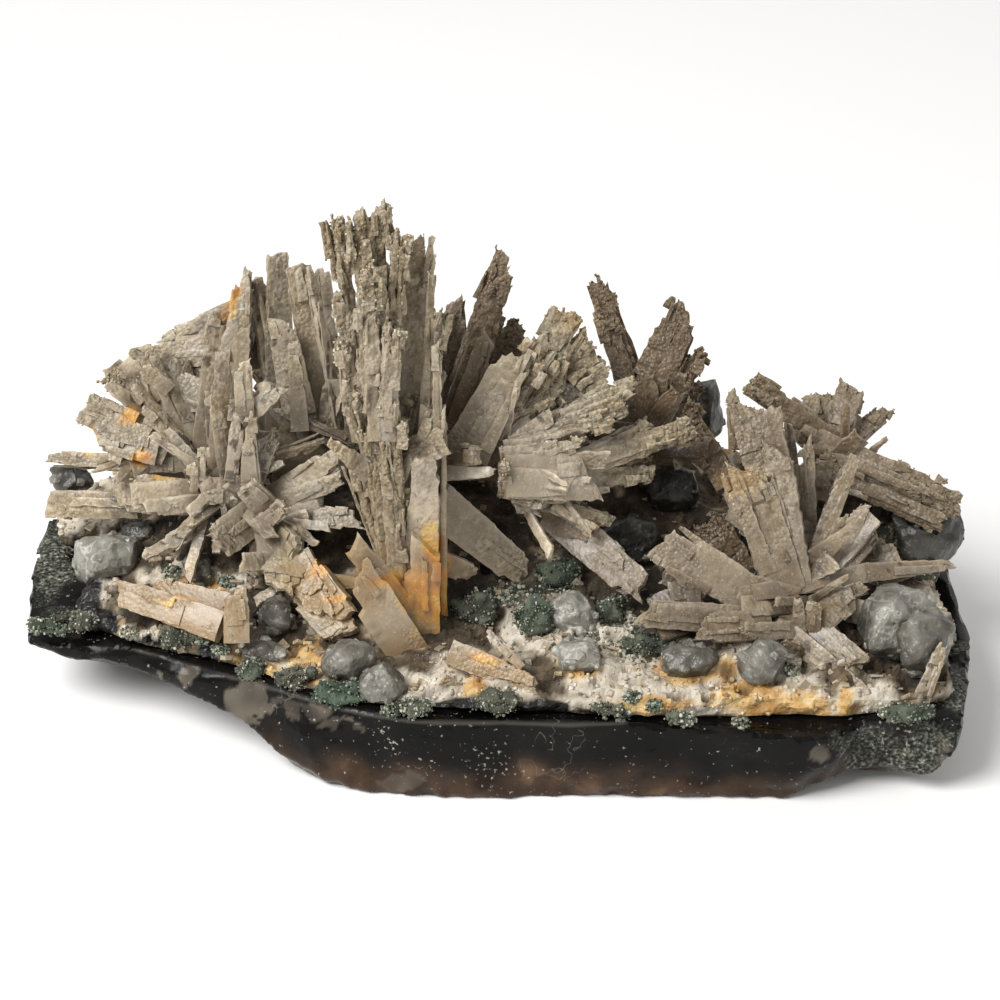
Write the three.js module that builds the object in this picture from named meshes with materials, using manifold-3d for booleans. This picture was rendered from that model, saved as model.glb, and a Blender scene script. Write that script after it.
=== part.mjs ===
// Quartz pseudomorph specimen: sprays of bladed quartz after anhydrite on a slab of smoky agate.
// Millimetres, +Z up, +X along the slab, -Y towards the show side. The slab rests on z = 0.
import * as THREE from "three";
import { mergeVertices } from "three/addons/utils/BufferGeometryUtils.js";
import Module from "manifold-3d";

// ---- driving dimensions --------------------------------------------------------------------
const SLAB_TOP = 18; // height of the slab's flat upper face
const GAP = 0.3; // clearance between pieces that grew against each other
const CRUST_BED = 3.4; // thickness of the crust behind the rim
const CRUST_EDGE = 0.8; // its thickness at the front rim
const CRUST_SLOPE = 4; // how much thicker it is at the back
const SEAT = 0.35; // how far a lump's middle stands above the crust, in half heights
const UNEVENNESS = 0.3; // how much a lump's corners stand in or out
const SLAB_FOOT = { x: 11, y: 34.5, halfX: 54, halfY: 34.3 }; // flat facet the slab rests on

// The pieces are laid out on a tilted drawing plane, as an eye in front of the slab sees them:
// u runs right and v up the plane, in mm, and y is the depth behind the slab's front edge.
const SIGHT_TILT = THREE.MathUtils.degToRad(30);
const SIGHT_DISTANCE = 472;
const PLANE_POINT = new THREE.Vector3(0, 50, 36);
const PLANE_UP = new THREE.Vector3(0, Math.sin(SIGHT_TILT), Math.cos(SIGHT_TILT));
const TO_EYE = new THREE.Vector3(0, -Math.cos(SIGHT_TILT), Math.sin(SIGHT_TILT));
const EYE = PLANE_POINT.clone().addScaledVector(TO_EYE, SIGHT_DISTANCE);

function sightLine(u, v) {
  const onPlane = PLANE_POINT.clone().addScaledVector(PLANE_UP, v);
  onPlane.x += u;
  return onPlane.sub(EYE);
}

// The point at depth y that the eye sees at (u, v).
function at(u, v, y) {
  const line = sightLine(u, v);
  return EYE.clone().addScaledVector(line, (y - EYE.y) / line.y);
}

// The point at height z that the eye sees at (u, v).
function onLevel(u, v, z) {
  const line = sightLine(u, v);
  return EYE.clone().addScaledVector(line, (z - EYE.z) / line.z);
}

// A repeatable value from 0 to 1 for each whole number.
function chance(n) {
  const s = Math.sin(n * 127.1 + 311.7) * 43758.5453;
  return s - Math.floor(s);
}

// ---- solids ----------------------------------------------------------------------------------
const wasm = await Module();
wasm.setup();

function solid(geometry) {
  const bare = geometry.clone();
  for (const name of Object.keys(bare.attributes)) {
    if (name !== "position") bare.deleteAttribute(name);
  }
  const merged = mergeVertices(bare, 1e-4);
  return new wasm.Manifold(
    new wasm.Mesh({
      numProp: 3,
      vertProperties: merged.attributes.position.array,
      triVerts: new Uint32Array(merged.index.array),
    }),
  );
}

function joined(solids) {
  return solids.reduce((whole, next) => whole.add(next));
}

// The largest connected body: what a cut leaves loose is dropped.
function largest(shape) {
  return shape.decompose().sort((a, b) => b.volume() - a.volume())[0];
}

function geometryOf(shape) {
  const mesh = shape.getMesh();
  const geometry = new THREE.BufferGeometry();
  geometry.setAttribute("position", new THREE.BufferAttribute(mesh.vertProperties, 3));
  geometry.setIndex(new THREE.BufferAttribute(mesh.triVerts, 1));
  return geometry.toNonIndexed();
}

function geometryFromFaces(points, faces) {
  const geometry = new THREE.BufferGeometry();
  geometry.setAttribute(
    "position",
    new THREE.Float32BufferAttribute(points.flatMap((p) => [p.x, p.y, p.z]), 3),
  );
  geometry.setIndex(faces.flat());
  return geometry;
}

// ---- agate slab --------------------------------------------------------------------------------
// Stations run once around the slab. A front one is [u, v, height] of the upper rim and [u, v, depth]
// of the lower edge; a hidden one gives both as [x, y, z].
const FRONT_STATIONS = [
  [-94, -28.2, 15, -92.5, -29, 33],
  [-87.5, -28, 16, -87, -30.8, 29],
  [-80, -28, 17, -80, -31, 26],
  [-73, -29, 18, -73, -33.5, 23.5],
  [-62, -31.6, 18, -62, -38, 18],
  [-51, -35, 18, -51, -44, 12],
  [-44, -37, 18, -44, -50, 8],
  [-37, -39.4, 18, -37, -54.4, 4],
  [-32, -40.6, 18, -31, -56.8, 2],
  [-26, -42.2, 18, -25, -58.8, 0.8],
  [-20, -43, 18, -19, -59.6, 0.2],
  [-13, -43.6, 18, -12, -60, 0],
  [0, -43.6, 18, 0, -60.4, 0],
  [12, -44.2, 17.6, 12, -60.4, 0],
  [28, -44, 17.6, 28, -59.6, 0],
  [40, -45.2, 17, 40, -59.6, 0],
  [48, -45.8, 16.4, 49, -60, 0],
  [60, -47.4, 15, 58, -59, 0],
  [66, -46.6, 15, 65, -55.4, 1],
  [72.4, -43.6, 17, 70, -53.4, 3],
  [84, -43, 17, 80, -52.8, 2],
  [91.6, -45, 15.6, 86, -55, 1],
];
const HIDDEN_STATIONS = [
  { rim: [88.5, 14, 18], edge: [84, 12, 6] },
  { rim: [91, 26, 19], edge: [85, 24, 5] },
  { rim: [91, 40, 20], edge: [85, 40, 6] },
  { rim: [90, 56, 20], edge: [83, 54, 7] },
  { rim: [82, 69, 19], edge: [76, 66, 5] },
  { rim: [68, 79, 18], edge: [64, 75, 3.5] },
  { rim: [50, 87, 18], edge: [48, 82, 2.5] },
  { rim: [28, 92, 18], edge: [27, 86, 2.5] },
  { rim: [4, 94, 18], edge: [4, 87, 3] },
  { rim: [-20, 93, 18], edge: [-20, 86, 4] },
  { rim: [-44, 90, 18], edge: [-42, 83, 5.5] },
  { rim: [-66, 86, 18], edge: [-63, 79, 8] },
  { rim: [-85, 80, 18], edge: [-79, 74, 10] },
  { rim: [-96, 73, 18], edge: [-88, 68, 11.5] },
  { rim: [-96, 60, 17.5], edge: [-90, 57, 12] },
  { rim: [-95, 46, 16.5], edge: [-91, 45, 12.5] },
];

function slabStations() {
  const front = FRONT_STATIONS.map(([rimU, rimV, rimHeight, edgeU, edgeV, edgeY]) => ({
    rim: onLevel(rimU, rimV, rimHeight),
    edge: at(edgeU, edgeV, edgeY),
  }));
  const hidden = HIDDEN_STATIONS.map(({ rim, edge }) => ({
    rim: new THREE.Vector3(...rim),
    edge: new THREE.Vector3(...edge),
  }));
  return [...front, ...hidden];
}

// The foot ring: the edge drawn in to the rounded flat facet under the slab.
function footPoint(edge) {
  const dx = (edge.x - SLAB_FOOT.x) / SLAB_FOOT.halfX;
  const dy = (edge.y - SLAB_FOOT.y) / SLAB_FOOT.halfY;
  const reach = (dx ** 4 + dy ** 4) ** 0.25;
  const inwards = Math.min(1 / reach, 0.985);
  return new THREE.Vector3(
    SLAB_FOOT.x + (edge.x - SLAB_FOOT.x) * inwards,
    SLAB_FOOT.y + (edge.y - SLAB_FOOT.y) * inwards,
    0,
  );
}

// Broken faces bulge a little at mid height, more in some scallops than in others.
function middlePoint(rim, edge, i) {
  const bulge = 1.2 * Math.sin(i * 1.9) + 0.6;
  const middle = rim.clone().lerp(edge, 0.5);
  const outwards = new THREE.Vector3(middle.x - SLAB_FOOT.x, 2 * (middle.y - SLAB_FOOT.y), 0);
  return middle.addScaledVector(outwards.normalize(), bulge);
}

function slabGeometry(lift) {
  const stations = slabStations();
  const count = stations.length;
  const rings = [
    stations.map((s) => footPoint(s.edge)),
    stations.map((s) => {
      const edge = s.edge.clone();
      edge.z = Math.max(edge.z, 0.6);
      return edge;
    }),
    stations.map((s, i) => middlePoint(s.rim, s.edge, i)),
    stations.map((s) => s.rim.clone().add(new THREE.Vector3(0, 0, lift))),
  ];
  const faces = [];
  for (let r = 0; r < rings.length - 1; r++) {
    for (let i = 0; i < count; i++) {
      const j = (i + 1) % count;
      const [a, b] = [r * count + i, r * count + j];
      faces.push([a, b, b + count], [a, b + count, a + count]);
    }
  }
  for (const [ring, first, up] of [[rings[0], 0, false], [rings[3], 3 * count, true]]) {
    const outline = ring.map((p) => new THREE.Vector2(p.x, p.y));
    for (const [a, b, c] of THREE.ShapeUtils.triangulateShape(outline, [])) {
      faces.push(up ? [first + a, first + b, first + c] : [first + c, first + b, first + a]);
    }
  }
  return geometryFromFaces(rings.flat(), faces);
}

// ---- quartz blades -----------------------------------------------------------------------------
// A blade is a flat tapered bar: root [u, v, depth], tip [u, v, depth], width at the root and at
// the tip, thickness, and its roll in degrees about its length (0 shows the broad face).
const BLADES = {
  rosette_left: [
    [-56, -5, 54, -53, 12, 60, 18, 13, 14, 0],
    [-56, 14, 54, -51, 43, 66, 7, 5, 3.5, 10],
    [-54, 10, 53, -50.3, 47, 67, 5, 2.6, 3, -8],
    [-58, 10, 55, -55.5, 38, 66, 8, 6, 2.5, 12],
    [-56, 2, 48, -55.5, 30.5, 52, 6, 3.8, 4, -5],
    [-51, 18, 58, -75, 25.5, 64, 7, 9, 3.5, 0],
    [-48, 30, 66, -74, 27, 68, 8, 11, 3, 8],
    [-50, 38, 70, -68, 29.5, 70, 6, 8, 3, 8],
    [-62, 12, 56, -70, 29.5, 62, 5, 4.4, 3, 15],
    [-61, 12, 56, -66, 28.5, 64, 4.4, 3.6, 3, 25],
    [-68, 20, 60, -79, 25, 60, 5, 5.5, 4, 0],
    [-66, 10, 52, -83.5, 18.6, 57, 8, 9, 7, 0],
    [-68, 10, 51, -82.5, 13.6, 55, 8, 7, 6, 0],
    [-62, 8, 52, -79, 8.5, 53, 5, 7.6, 4, -10],
    [-62, 6, 55, -90.6, 8.6, 60, 4, 2.8, 5, 0],
    [-58, 1, 48, -78.6, 0.5, 50, 6.6, 6.6, 5, 0],
    [-56, -1, 46, -74, -1.8, 46, 4, 3.6, 4, 0],
    [-52, 1.6, 45, -60, 2, 42, 6, 6, 4, 0],
    [-53.8, 4, 43, -52.4, 20.4, 46, 3, 2.2, 2.4, 0],
    [-49.8, 3, 41, -49.8, 18, 43, 4.4, 1.6, 2.4, -8],
    [-52, 16, 45, -43.4, 23.4, 47, 5, 4.4, 2.2, -6],
    [-49, 3, 42, -44.4, 14.2, 46, 3.4, 3, 2, 20],
    [-46.6, -1.6, 40, -51, 3, 39, 6, 5, 3, -15],
    [-49, -6, 38, -42.6, -1, 36, 4, 3.4, 2.5, 0],
    [-49, -3, 41, -57, -9, 31, 8, 7.6, 3, -10],
    [-44, -5, 40, -43.6, -19, 25, 11, 7, 3.4, 0],
    [-45, -8, 38, -40.5, -12, 31, 9, 8, 4, 25],
    [-41, -12, 33, -34.4, -22, 23, 8, 7, 5, 10],
    [-37, -15, 30, -30, -23.5, 21, 6, 5.5, 5, 20],
    [-38, -20, 28, -30.5, -28, 19, 7, 8, 5, -8],
    [-57, -4, 43, -71.6, -11.2, 34, 4, 3.6, 3, 15],
    [-45, -2, 43, -26.5, -4.4, 40, 5, 4.4, 4, 0],
    [-46, 0, 45, -32, 9.4, 44, 5.6, 4.8, 3.4, -10],
    [-43, 0, 43, -31.5, 4.4, 42, 4, 4.2, 3, 10],
  ],
  blade_column: [
    [-17, -31, 24, -17, -6, 26, 8.4, 7.2, 8, 0],
    [-16, -20, 25, -15, 9, 27, 7, 6.2, 6, 0],
    [-21, -20, 25, -28, 22.8, 31, 5, 5.4, 5, 15],
    [-20.5, -19, 24.4, -24, 21.5, 30, 5, 4.4, 5, 0],
    [-20, -18, 24, -21, 19, 29, 5, 3.8, 5, -10],
    [-20, -19, 25, -30, 9, 31, 5, 4, 4, 20],
    [-25, 2, 30, -32.9, 56.6, 42, 5.4, 5.6, 5, 8],
    [-24, 4, 29, -28, 58.4, 40, 5.4, 5.2, 5, 0],
    [-23, 4, 30, -23.8, 60.4, 42, 5.4, 5.6, 5, 0],
    [-22.4, 8, 29, -20.4, 53.6, 39, 5, 4, 5, -10],
    [-22.4, 12, 27, -21.4, 35, 31, 6, 4.6, 4, 0],
    [-24.4, 12, 27, -26.4, 47, 35, 6, 5, 4.4, 0],
    [-28, 12, 30, -31, 32, 34, 5, 4.6, 4, 10],
    [-19, 12, 34, -16.4, 53.8, 45, 7.4, 5.4, 4, 0],
    [-15, 12, 31, -13.6, 45.6, 38, 3.2, 1.6, 2.6, 0],
    [-11.2, -29, 26, -11.4, 19, 31, 1.8, 1.4, 7, 0],
    [-14, 4, 30, -13.6, 19.2, 32, 6.4, 5.4, 3, 0],
    [-19, -22, 22, -29.8, -8, 18, 5.6, 4.8, 4, 0],
    [-15, -32, 21, -29, -14.6, 15, 9, 4, 5, 0],
    [-16, -31, 20, -19, -22, 19, 8, 6, 5, 0],
    [-12.8, -31, 19, -12.4, -40, 12, 3.6, 3, 3, 0],
    [-13, 0, 33, 5.6, -15.6, 37, 9, 7, 5, 0],
    [-15, -11, 30, -4.6, -15, 31, 5, 4, 3, 20],
    [-20, 3, 32, -12, 38, 62, 8, 6, 4, -10],
    [-24, 3, 32, -30, 34, 64, 8, 6, 4, 15],
  ],
  blade_fan_middle: [
    [-7, 9, 38, 3.8, 30.6, 46, 10, 6.4, 4, 0],
    [-1, 13, 42, 14.6, 37.6, 58, 10, 7.4, 4.4, 0],
    [0, 12, 43, 20, 29, 57, 8, 8, 4, 0],
    [0, 13, 42, 12, 29.6, 50, 7, 6, 4, -10],
    [0, 12, 41, 14.4, 25.6, 50, 6, 5, 4, 0],
    [-1, 12, 40, 10, 21.6, 46, 5, 5, 4, 10],
    [0, 11, 40, 27.6, 23.8, 50, 5, 3.8, 3.6, 0],
    [2, 11, 38, 25.4, 18.6, 46, 4.4, 2.6, 3, 0],
    [1, 10, 37, 22.6, 16, 43, 5, 3.2, 3, 0],
    [0, 9, 35, 17.6, 11.6, 38, 4, 2.8, 3, 0],
    [1, 4.6, 32, 20.8, 4.8, 36, 9, 10.6, 4, 0],
    [4, 0.6, 33, 22.6, -4.6, 37, 4, 4.6, 3, 0],
    [-11, 5.4, 33, -0.8, 5.6, 32, 3.4, 2, 3, 0],
    [0, 2, 36, 9.2, -0.6, 31, 4, 3, 3.4, 0],
    [10, 5, 38, 39, 14.6, 50, 7, 6, 4, 0],
    [16, 8, 41, 30, 15.8, 50, 5, 4.4, 3, 0],
    [9, 3, 37, 31, 5.6, 46, 5.4, 5, 4, 0],
  ],
  blade_plate_low: [
    [11, -2.6, 40, 29.4, -19, 23, 8.4, 7, 4, 0],
    [9, -3, 39, 20, -8.6, 33, 6, 5, 3.4, 10],
  ],
  blades_back_left: [
    [-38, 4, 56, -38, 20, 60, 16, 12, 10, 0],
    [-44, 14, 58, -44.6, 49.6, 71, 7, 5.4, 3.5, 20],
    [-43, 12, 58, -49, 44.5, 69, 5, 5, 3, 35],
    [-33, 12, 54, -40.6, 47.6, 65, 8.4, 4.6, 4, 12],
    [-32, 14, 52, -38.3, 47, 60, 3, 2.2, 2.4, 45],
    [-31.5, 16, 56, -36.5, 46.4, 66, 5, 3, 3, 20],
    [-39, 13, 54, -44.4, 37, 58, 8, 5, 3, -12],
    [-40, 14, 50, -41.2, 31.4, 51, 4, 3, 3, 0],
  ],
  blades_back_middle: [
    [-6, 4, 50, -6, 17, 56, 17, 13, 14, 0],
    [-11.6, 15, 50, 0.2, 50.2, 66, 4, 3.4, 3, 0],
    [-9.6, 16, 50, 1, 45.6, 60, 6, 5.2, 3.6, 15],
    [-10, 12, 52, -9, 41.4, 64, 6, 4.4, 4, 0],
    [-9.6, 12, 46, -1.6, 34.4, 52, 5.4, 4.4, 4, 0],
    [-6, 16, 56, 3.6, 35.4, 66, 9, 7, 4, 0],
  ],
  blades_back_right: [
    [29, 2, 60, 30, 14, 62, 15, 12, 10, 0],
    [30, 14, 61, 19.2, 45.4, 72, 7, 2.8, 3.4, 0],
    [28, 16, 60, 20.2, 38.6, 68, 6.4, 4.6, 3, 10],
    [24, 9, 56, 38, 39.6, 70, 11, 7.6, 5, 0],
    [30, 13, 56, 40.6, 30.4, 66, 6.4, 4.6, 4, -10],
    [45.4, 3, 52, 36, 19.6, 59, 7, 7, 4, 0],
  ],
  blade_spray_right: [
    [60, -21, 31, 60, -7, 38, 15, 12, 9, 0],
    [57.4, -18.4, 25, 48, 8.4, 35, 8, 10.4, 4, 0],
    [60, -17.6, 26, 54.8, 12, 37, 5.4, 6.4, 4.6, -10],
    [55, 0, 36, 49, 21, 47, 9, 8.6, 4, 0],
    [57, -3, 34, 54.3, 19, 41, 5, 4.4, 3.6, -8],
    [62, -8, 36, 61.2, 13, 43, 3.2, 3.2, 3, 0],
    [59.4, -4, 38, 57.8, 15.8, 45, 3, 2.2, 2.4, 0],
    [62.6, -12, 30, 71, 9.2, 40, 3.8, 3.4, 3, 0],
    [65, -16, 28, 68.8, -2.8, 34, 4.4, 4, 3, 10],
    [66.4, -15.6, 28, 73.2, -1, 35, 4.4, 3.4, 3, 0],
    [68, -15, 28, 75.4, -5.4, 34, 4.4, 3.6, 3, -10],
    [79, -16.6, 30.5, 75.2, -7.2, 37, 7, 2.6, 3.4, 0],
    [50.4, -18.6, 24, 76, -14, 29, 3.6, 4.8, 4, 0],
    [73, -14.6, 28, 91, -12.8, 32, 4.2, 2.4, 3, 0],
    [53, -21, 25, 31.4, -7.4, 31, 8, 10, 4.4, 0],
    [49, -24, 21, 26.6, -22.4, 18, 6, 6, 4, 0],
    [54, -25, 20, 38.4, -25.6, 15, 6, 6.6, 4, 10],
    [59, -26, 18, 47.4, -26.4, 14, 4, 3.2, 4, 0],
    [61.4, -25, 20, 72.6, -33.8, 10, 6.4, 6.4, 3.4, 0],
    [57.6, -26.4, 18, 71.6, -38.2, 8, 5, 4.4, 3.4, 10],
    [64.4, -25, 19, 69.2, -20.2, 18, 4.4, 4.2, 3, 0],
    [63, -22, 24, 73.4, -16.8, 24, 4, 3, 3, 0],
  ],
  blades_far_right: [
    [63, 12, 54, 91, 0.4, 45, 6, 5, 6, 0],
    [66, 9, 52, 92, -2, 44, 6, 4, 4, 15],
    [68, 5, 51, 89, -5, 44, 6, 5.6, 4, 0],
    [70, 9, 55, 49.6, 23.6, 54, 6, 5.4, 4, 0],
    [64, 0, 47, 67, 10.4, 51, 8, 7, 3, 0],
  ],
  blade_dark_low: [[48.4, -15.6, 39, 41, -3.8, 45, 8, 8.6, 4, 0]],
  blade_front_peach: [
    [-55.6, -25.4, 21, -77, -18, 31, 6.4, 6, 6, 0],
    [-54, -21, 27, -70, -17, 34, 5, 4, 4, 0],
  ],
  blade_front_block: [[-52.6, -28.4, 17, -52.8, -17.4, 21, 5.2, 5, 5, 0]],
  blade_front_orange: [[-10, -30.4, 13.5, 8.6, -37.8, 6.5, 5.4, 4.4, 4, 0]],
  blade_front_white: [[4.4, -33.6, 10, -2.4, -26.4, 15, 2, 1.8, 1.8, 0]],
  blade_right_slim: [[84.2, -40, 5, 88.6, -28.6, 10, 3.6, 2.4, 2.4, 0]],
};

// Sprays also fan out behind, away from the show side: from centre [x, y, z], count blades spread
// between two bearings (degrees from +X towards +Y), each rising between 12 and 50 degrees.
const REAR_FANS = {
  rosette_left: { centre: [-56, 60, 34], count: 7, from: 25, to: 175, reach: 24 },
  blades_back_left: { centre: [-37, 60, 42], count: 5, from: 40, to: 140, reach: 22 },
  blades_back_middle: { centre: [-5, 57, 42], count: 6, from: 25, to: 155, reach: 25 },
  blades_back_right: { centre: [30, 66, 34], count: 5, from: 30, to: 165, reach: 22 },
  blade_spray_right: { centre: [58, 40, 30], count: 4, from: 60, to: 160, reach: 18 },
  blades_far_right: { centre: [66, 55, 42], count: 4, from: 20, to: 130, reach: 17 },
};

// A bar from root to tip with every face moved outwards by grow; its broad face turns to facing.
function bar(root, tip, rootWidth, tipWidth, thickness, facing, roll, grow) {
  const along = tip.clone().sub(root).normalize();
  const across = along.clone().cross(facing).normalize();
  across.applyAxisAngle(along, THREE.MathUtils.degToRad(roll));
  const normal = across.clone().cross(along);
  const start = root.clone().addScaledVector(along, -grow);
  const end = tip.clone().addScaledVector(along, grow);
  const box = new THREE.BoxGeometry(1, 1, 1);
  const corners = box.getAttribute("position");
  for (let i = 0; i < corners.count; i++) {
    const t = corners.getZ(i) + 0.5;
    const width = THREE.MathUtils.lerp(rootWidth, tipWidth, t) + 2 * grow;
    const point = start.clone().lerp(end, t);
    point.addScaledVector(across, corners.getX(i) * width);
    point.addScaledVector(normal, -corners.getY(i) * (thickness + 2 * grow));
    corners.setXYZ(i, point.x, point.y, point.z);
  }
  return solid(box);
}

function blade(row, grow) {
  const [rootU, rootV, rootY, tipU, tipV, tipY, rootWidth, tipWidth, thickness, roll] = row;
  const root = at(rootU, rootV, rootY);
  const tip = at(tipU, tipV, tipY);
  return bar(root, tip, rootWidth, tipWidth, thickness, EYE.clone().sub(root), roll, grow);
}

function rearBlades({ centre, count, from, to, reach }, grow) {
  const root = new THREE.Vector3(...centre);
  const up = new THREE.Vector3(0, 0, 1);
  return Array.from({ length: count }, (_, i) => {
    const seed = 10 * (centre[0] + centre[1]) + i;
    const bearing = THREE.MathUtils.degToRad(from + ((to - from) * (i + 0.5)) / count);
    const rise = THREE.MathUtils.degToRad(12 + 38 * chance(seed));
    const length = reach * (0.75 + 0.35 * chance(seed + 0.3));
    const tip = new THREE.Vector3(
      root.x + length * Math.cos(rise) * Math.cos(bearing),
      root.y + length * Math.cos(rise) * Math.sin(bearing),
      root.z + length * Math.sin(rise),
    );
    const width = 4.5 + 4 * chance(seed + 0.6);
    return bar(root, tip, width, width * 1.1, 3.4, up, 30 * (chance(seed + 0.8) - 0.5), grow);
  });
}

function spray(name, grow) {
  const seen = BLADES[name].map((row) => blade(row, grow));
  const rear = REAR_FANS[name] ? rearBlades(REAR_FANS[name], grow) : [];
  return joined([...seen, ...rear]);
}

// ---- limonite-stained crust --------------------------------------------------------------------
const CRUST_OUTLINE = [
  [-92.5, 70], [-91, 62], [-82, 60], [-81, 44], [-84, 38], [-83, 33], [-72, 27], [-58, 20.5],
  [-46, 15], [-37, 9.5], [-28, 5.5], [-18, 3.6], [-4, 3], [12, 3.2], [28, 3], [42, 3.6],
  [56, 4.6], [64, 3.4], [70, 3.8], [78, 4], [84.5, 7], [86.5, 20], [87.5, 38], [86.5, 54],
  [79, 66], [66, 75.5], [48, 83.5], [27, 88.5], [4, 90.5], [-20, 89.5], [-43, 86.5],
  [-65, 82.5], [-83, 77],
];
const MOUNDS = [
  { x: -53, y: 56, rise: 15, spread: 17 },
  { x: -34, y: 60, rise: 12, spread: 14 },
  { x: -16, y: 30, rise: 5, spread: 10 },
  { x: -8, y: 54, rise: 17, spread: 15 },
  { x: 28, y: 64, rise: 15, spread: 15 },
  { x: 56, y: 30, rise: 7, spread: 13 },
  { x: 68, y: 56, rise: 12, spread: 13 },
  { x: 38, y: 80, rise: 10, spread: 12 },
  { x: -30, y: 78, rise: 7, spread: 14 },
  { x: 4, y: 80, rise: 8, spread: 14 },
];
const CRUST_GRID = { across: 20, deep: 9, left: -97, right: 93, front: -2, back: 97 };

// The depth of the slab's front rim at x.
function rimDepth(x) {
  const rims = slabStations().slice(0, FRONT_STATIONS.length).map((s) => s.rim);
  const next = Math.max(1, rims.findIndex((rim) => rim.x > x));
  const [before, after] = [rims[next - 1], rims[next]];
  const t = THREE.MathUtils.clamp((x - before.x) / (after.x - before.x), 0, 1);
  return THREE.MathUtils.lerp(before.y, after.y, t);
}

// The crust thickens away from the front rim and heaps up round the foot of each spray.
function crustHeight(x, y) {
  const inwards = y - rimDepth(x);
  const bed = CRUST_EDGE + (CRUST_BED - CRUST_EDGE) * THREE.MathUtils.smoothstep(inwards, 0, 16);
  const slope = CRUST_SLOPE * THREE.MathUtils.smoothstep(inwards, 12, 60);
  const knobs = 0.7 * Math.sin(x * 0.61 + 1) * Math.sin(y * 0.83) + 0.5 * Math.sin(x * 1.3 + y * 0.7);
  const mounds = MOUNDS.map(
    (m) => m.rise * Math.exp(-((x - m.x) ** 2 + (y - m.y) ** 2) / m.spread ** 2),
  );
  return SLAB_TOP + bed + slope + knobs * Math.min(1, bed / CRUST_BED) + Math.max(...mounds);
}

// The point seen at (u, v) that stands rise above the crust.
function onCrust(u, v, rise) {
  let y = -5;
  let point = at(u, v, y);
  while (point.z > crustHeight(point.x, point.y) + rise && y < 95) {
    y += 0.25;
    point = at(u, v, y);
  }
  return point;
}

// A block from below the slab's top up to the crust's surface, trimmed to the crust's outline.
function crustBlock(lift) {
  const { across, deep, left, right, front, back } = CRUST_GRID;
  const block = new THREE.BoxGeometry(right - left, back - front, SLAB_TOP, across, deep, 1);
  block.translate((left + right) / 2, (front + back) / 2, SLAB_TOP / 2 + 10);
  const corners = block.getAttribute("position");
  for (let i = 0; i < corners.count; i++) {
    if (corners.getZ(i) > SLAB_TOP) {
      corners.setZ(i, crustHeight(corners.getX(i), corners.getY(i)) + lift);
    }
  }
  const outline = new THREE.Shape(CRUST_OUTLINE.map(([x, y]) => new THREE.Vector2(x, y)));
  const prism = new THREE.ExtrudeGeometry(outline, { depth: 60, bevelEnabled: false });
  return solid(block).intersect(solid(prism));
}

// ---- grey quartz lumps and celadonite tufts --------------------------------------------------------
// Each is [u, v, half width, half depth, half height]: where its middle is seen, and its size. It
// stands on the crust there, unless a depth follows.
const LUMPS = [
  [-78, -12.4, 7, 6, 6.4],
  [-85, 4.6, 4.4, 4.6, 3.2, 63],
  [-71, -6.6, 5.4, 3, 2.4],
  [-59.4, -14.4, 3, 3.4, 4],
  [-44.6, -23.4, 4, 3.6, 5],
  [-47, -30.6, 5, 3, 2.6],
  [-30, -32.4, 6, 5, 4.6],
  [-23.4, -37, 5, 4, 3.6],
  [15, -23.6, 5.8, 5, 5],
  [16.6, -31.2, 5.4, 4.6, 4.4],
  [38, -32.6, 6.6, 4, 3.6],
  [52.4, -32.8, 5, 4, 4.8],
  [78.6, -24.6, 9, 8, 9.4],
  [84, -28.8, 6.4, 7, 8.4],
  [85, -7, 8, 8, 8],
  [78, -3, 7, 7, 8, 56],
  [40.6, 18.6, 4, 5, 9, 79],
  [34, 2.4, 6, 6, 6, 56],
  [26, -8, 6, 5, 6],
];
const TUFTS = [
  [-90, -25.4, 4.4, 3, 1.8],
  [-84, -24, 5, 3.4, 2],
  [-64, -27.8, 4.4, 3, 1.8],
  [-49.4, -33.4, 3.6, 2.4, 2],
  [-41.4, -35.4, 4.4, 3, 2.6],
  [-32, -38.8, 6.4, 3, 2.4],
  [-18, -41.4, 5, 2.4, 1.8],
  [0, -40.4, 5, 3, 2.2],
  [7.4, -24, 5.4, 4, 5],
  [12, -15.2, 5, 4, 4],
  [22.6, -22.4, 3.6, 3.4, 4.6],
  [31, -29, 6, 3.4, 2.4],
  [21, -41.6, 3.6, 2, 1.6],
  [36, -43.2, 3, 1.8, 1.4],
  [81, -42.4, 6, 3, 1.8],
  [-5, -22, 5, 4, 4],
];

function rough([u, v, halfX, halfY, halfZ, y], seed, grow) {
  const ball = new THREE.IcosahedronGeometry(1, 0);
  for (const name of ["normal", "uv"]) ball.deleteAttribute(name);
  const lump = mergeVertices(ball, 1e-4);
  const middle = y === undefined ? onCrust(u, v, SEAT * halfZ) : at(u, v, y);
  const corners = lump.getAttribute("position");
  for (let i = 0; i < corners.count; i++) {
    const swell = 1.1 + UNEVENNESS * (chance(seed * 100 + i) - 0.5);
    corners.setXYZ(
      i,
      middle.x + corners.getX(i) * (halfX * swell + grow),
      middle.y + corners.getY(i) * (halfY * swell + grow),
      middle.z + corners.getZ(i) * (halfZ * swell + grow),
    );
  }
  return solid(lump);
}

// ---- putting it together --------------------------------------------------------------------------
const COLOURS = {
  slab: [0x1c1a1a, 0.25],
  blades: [0xbdae94, 0.65],
  lumps: [0x7d8078, 0.3],
  tufts: [0x3f5248, 0.95],
  crust: [0xd3c6ad, 0.9],
};

const specimen = new THREE.Group();
const placed = [];

// Adds a piece, cut back by what already stands there; grown is the piece with the gap added.
function place(name, finish, shape, grown) {
  let rest = shape;
  for (const other of placed) {
    rest = rest.subtract(other);
  }
  const [color, roughness] = COLOURS[finish];
  const material = new THREE.MeshStandardMaterial({ color, roughness, metalness: 0 });
  const mesh = new THREE.Mesh(geometryOf(largest(rest)), material);
  mesh.name = name;
  specimen.add(mesh);
  placed.push(grown);
}

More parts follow.
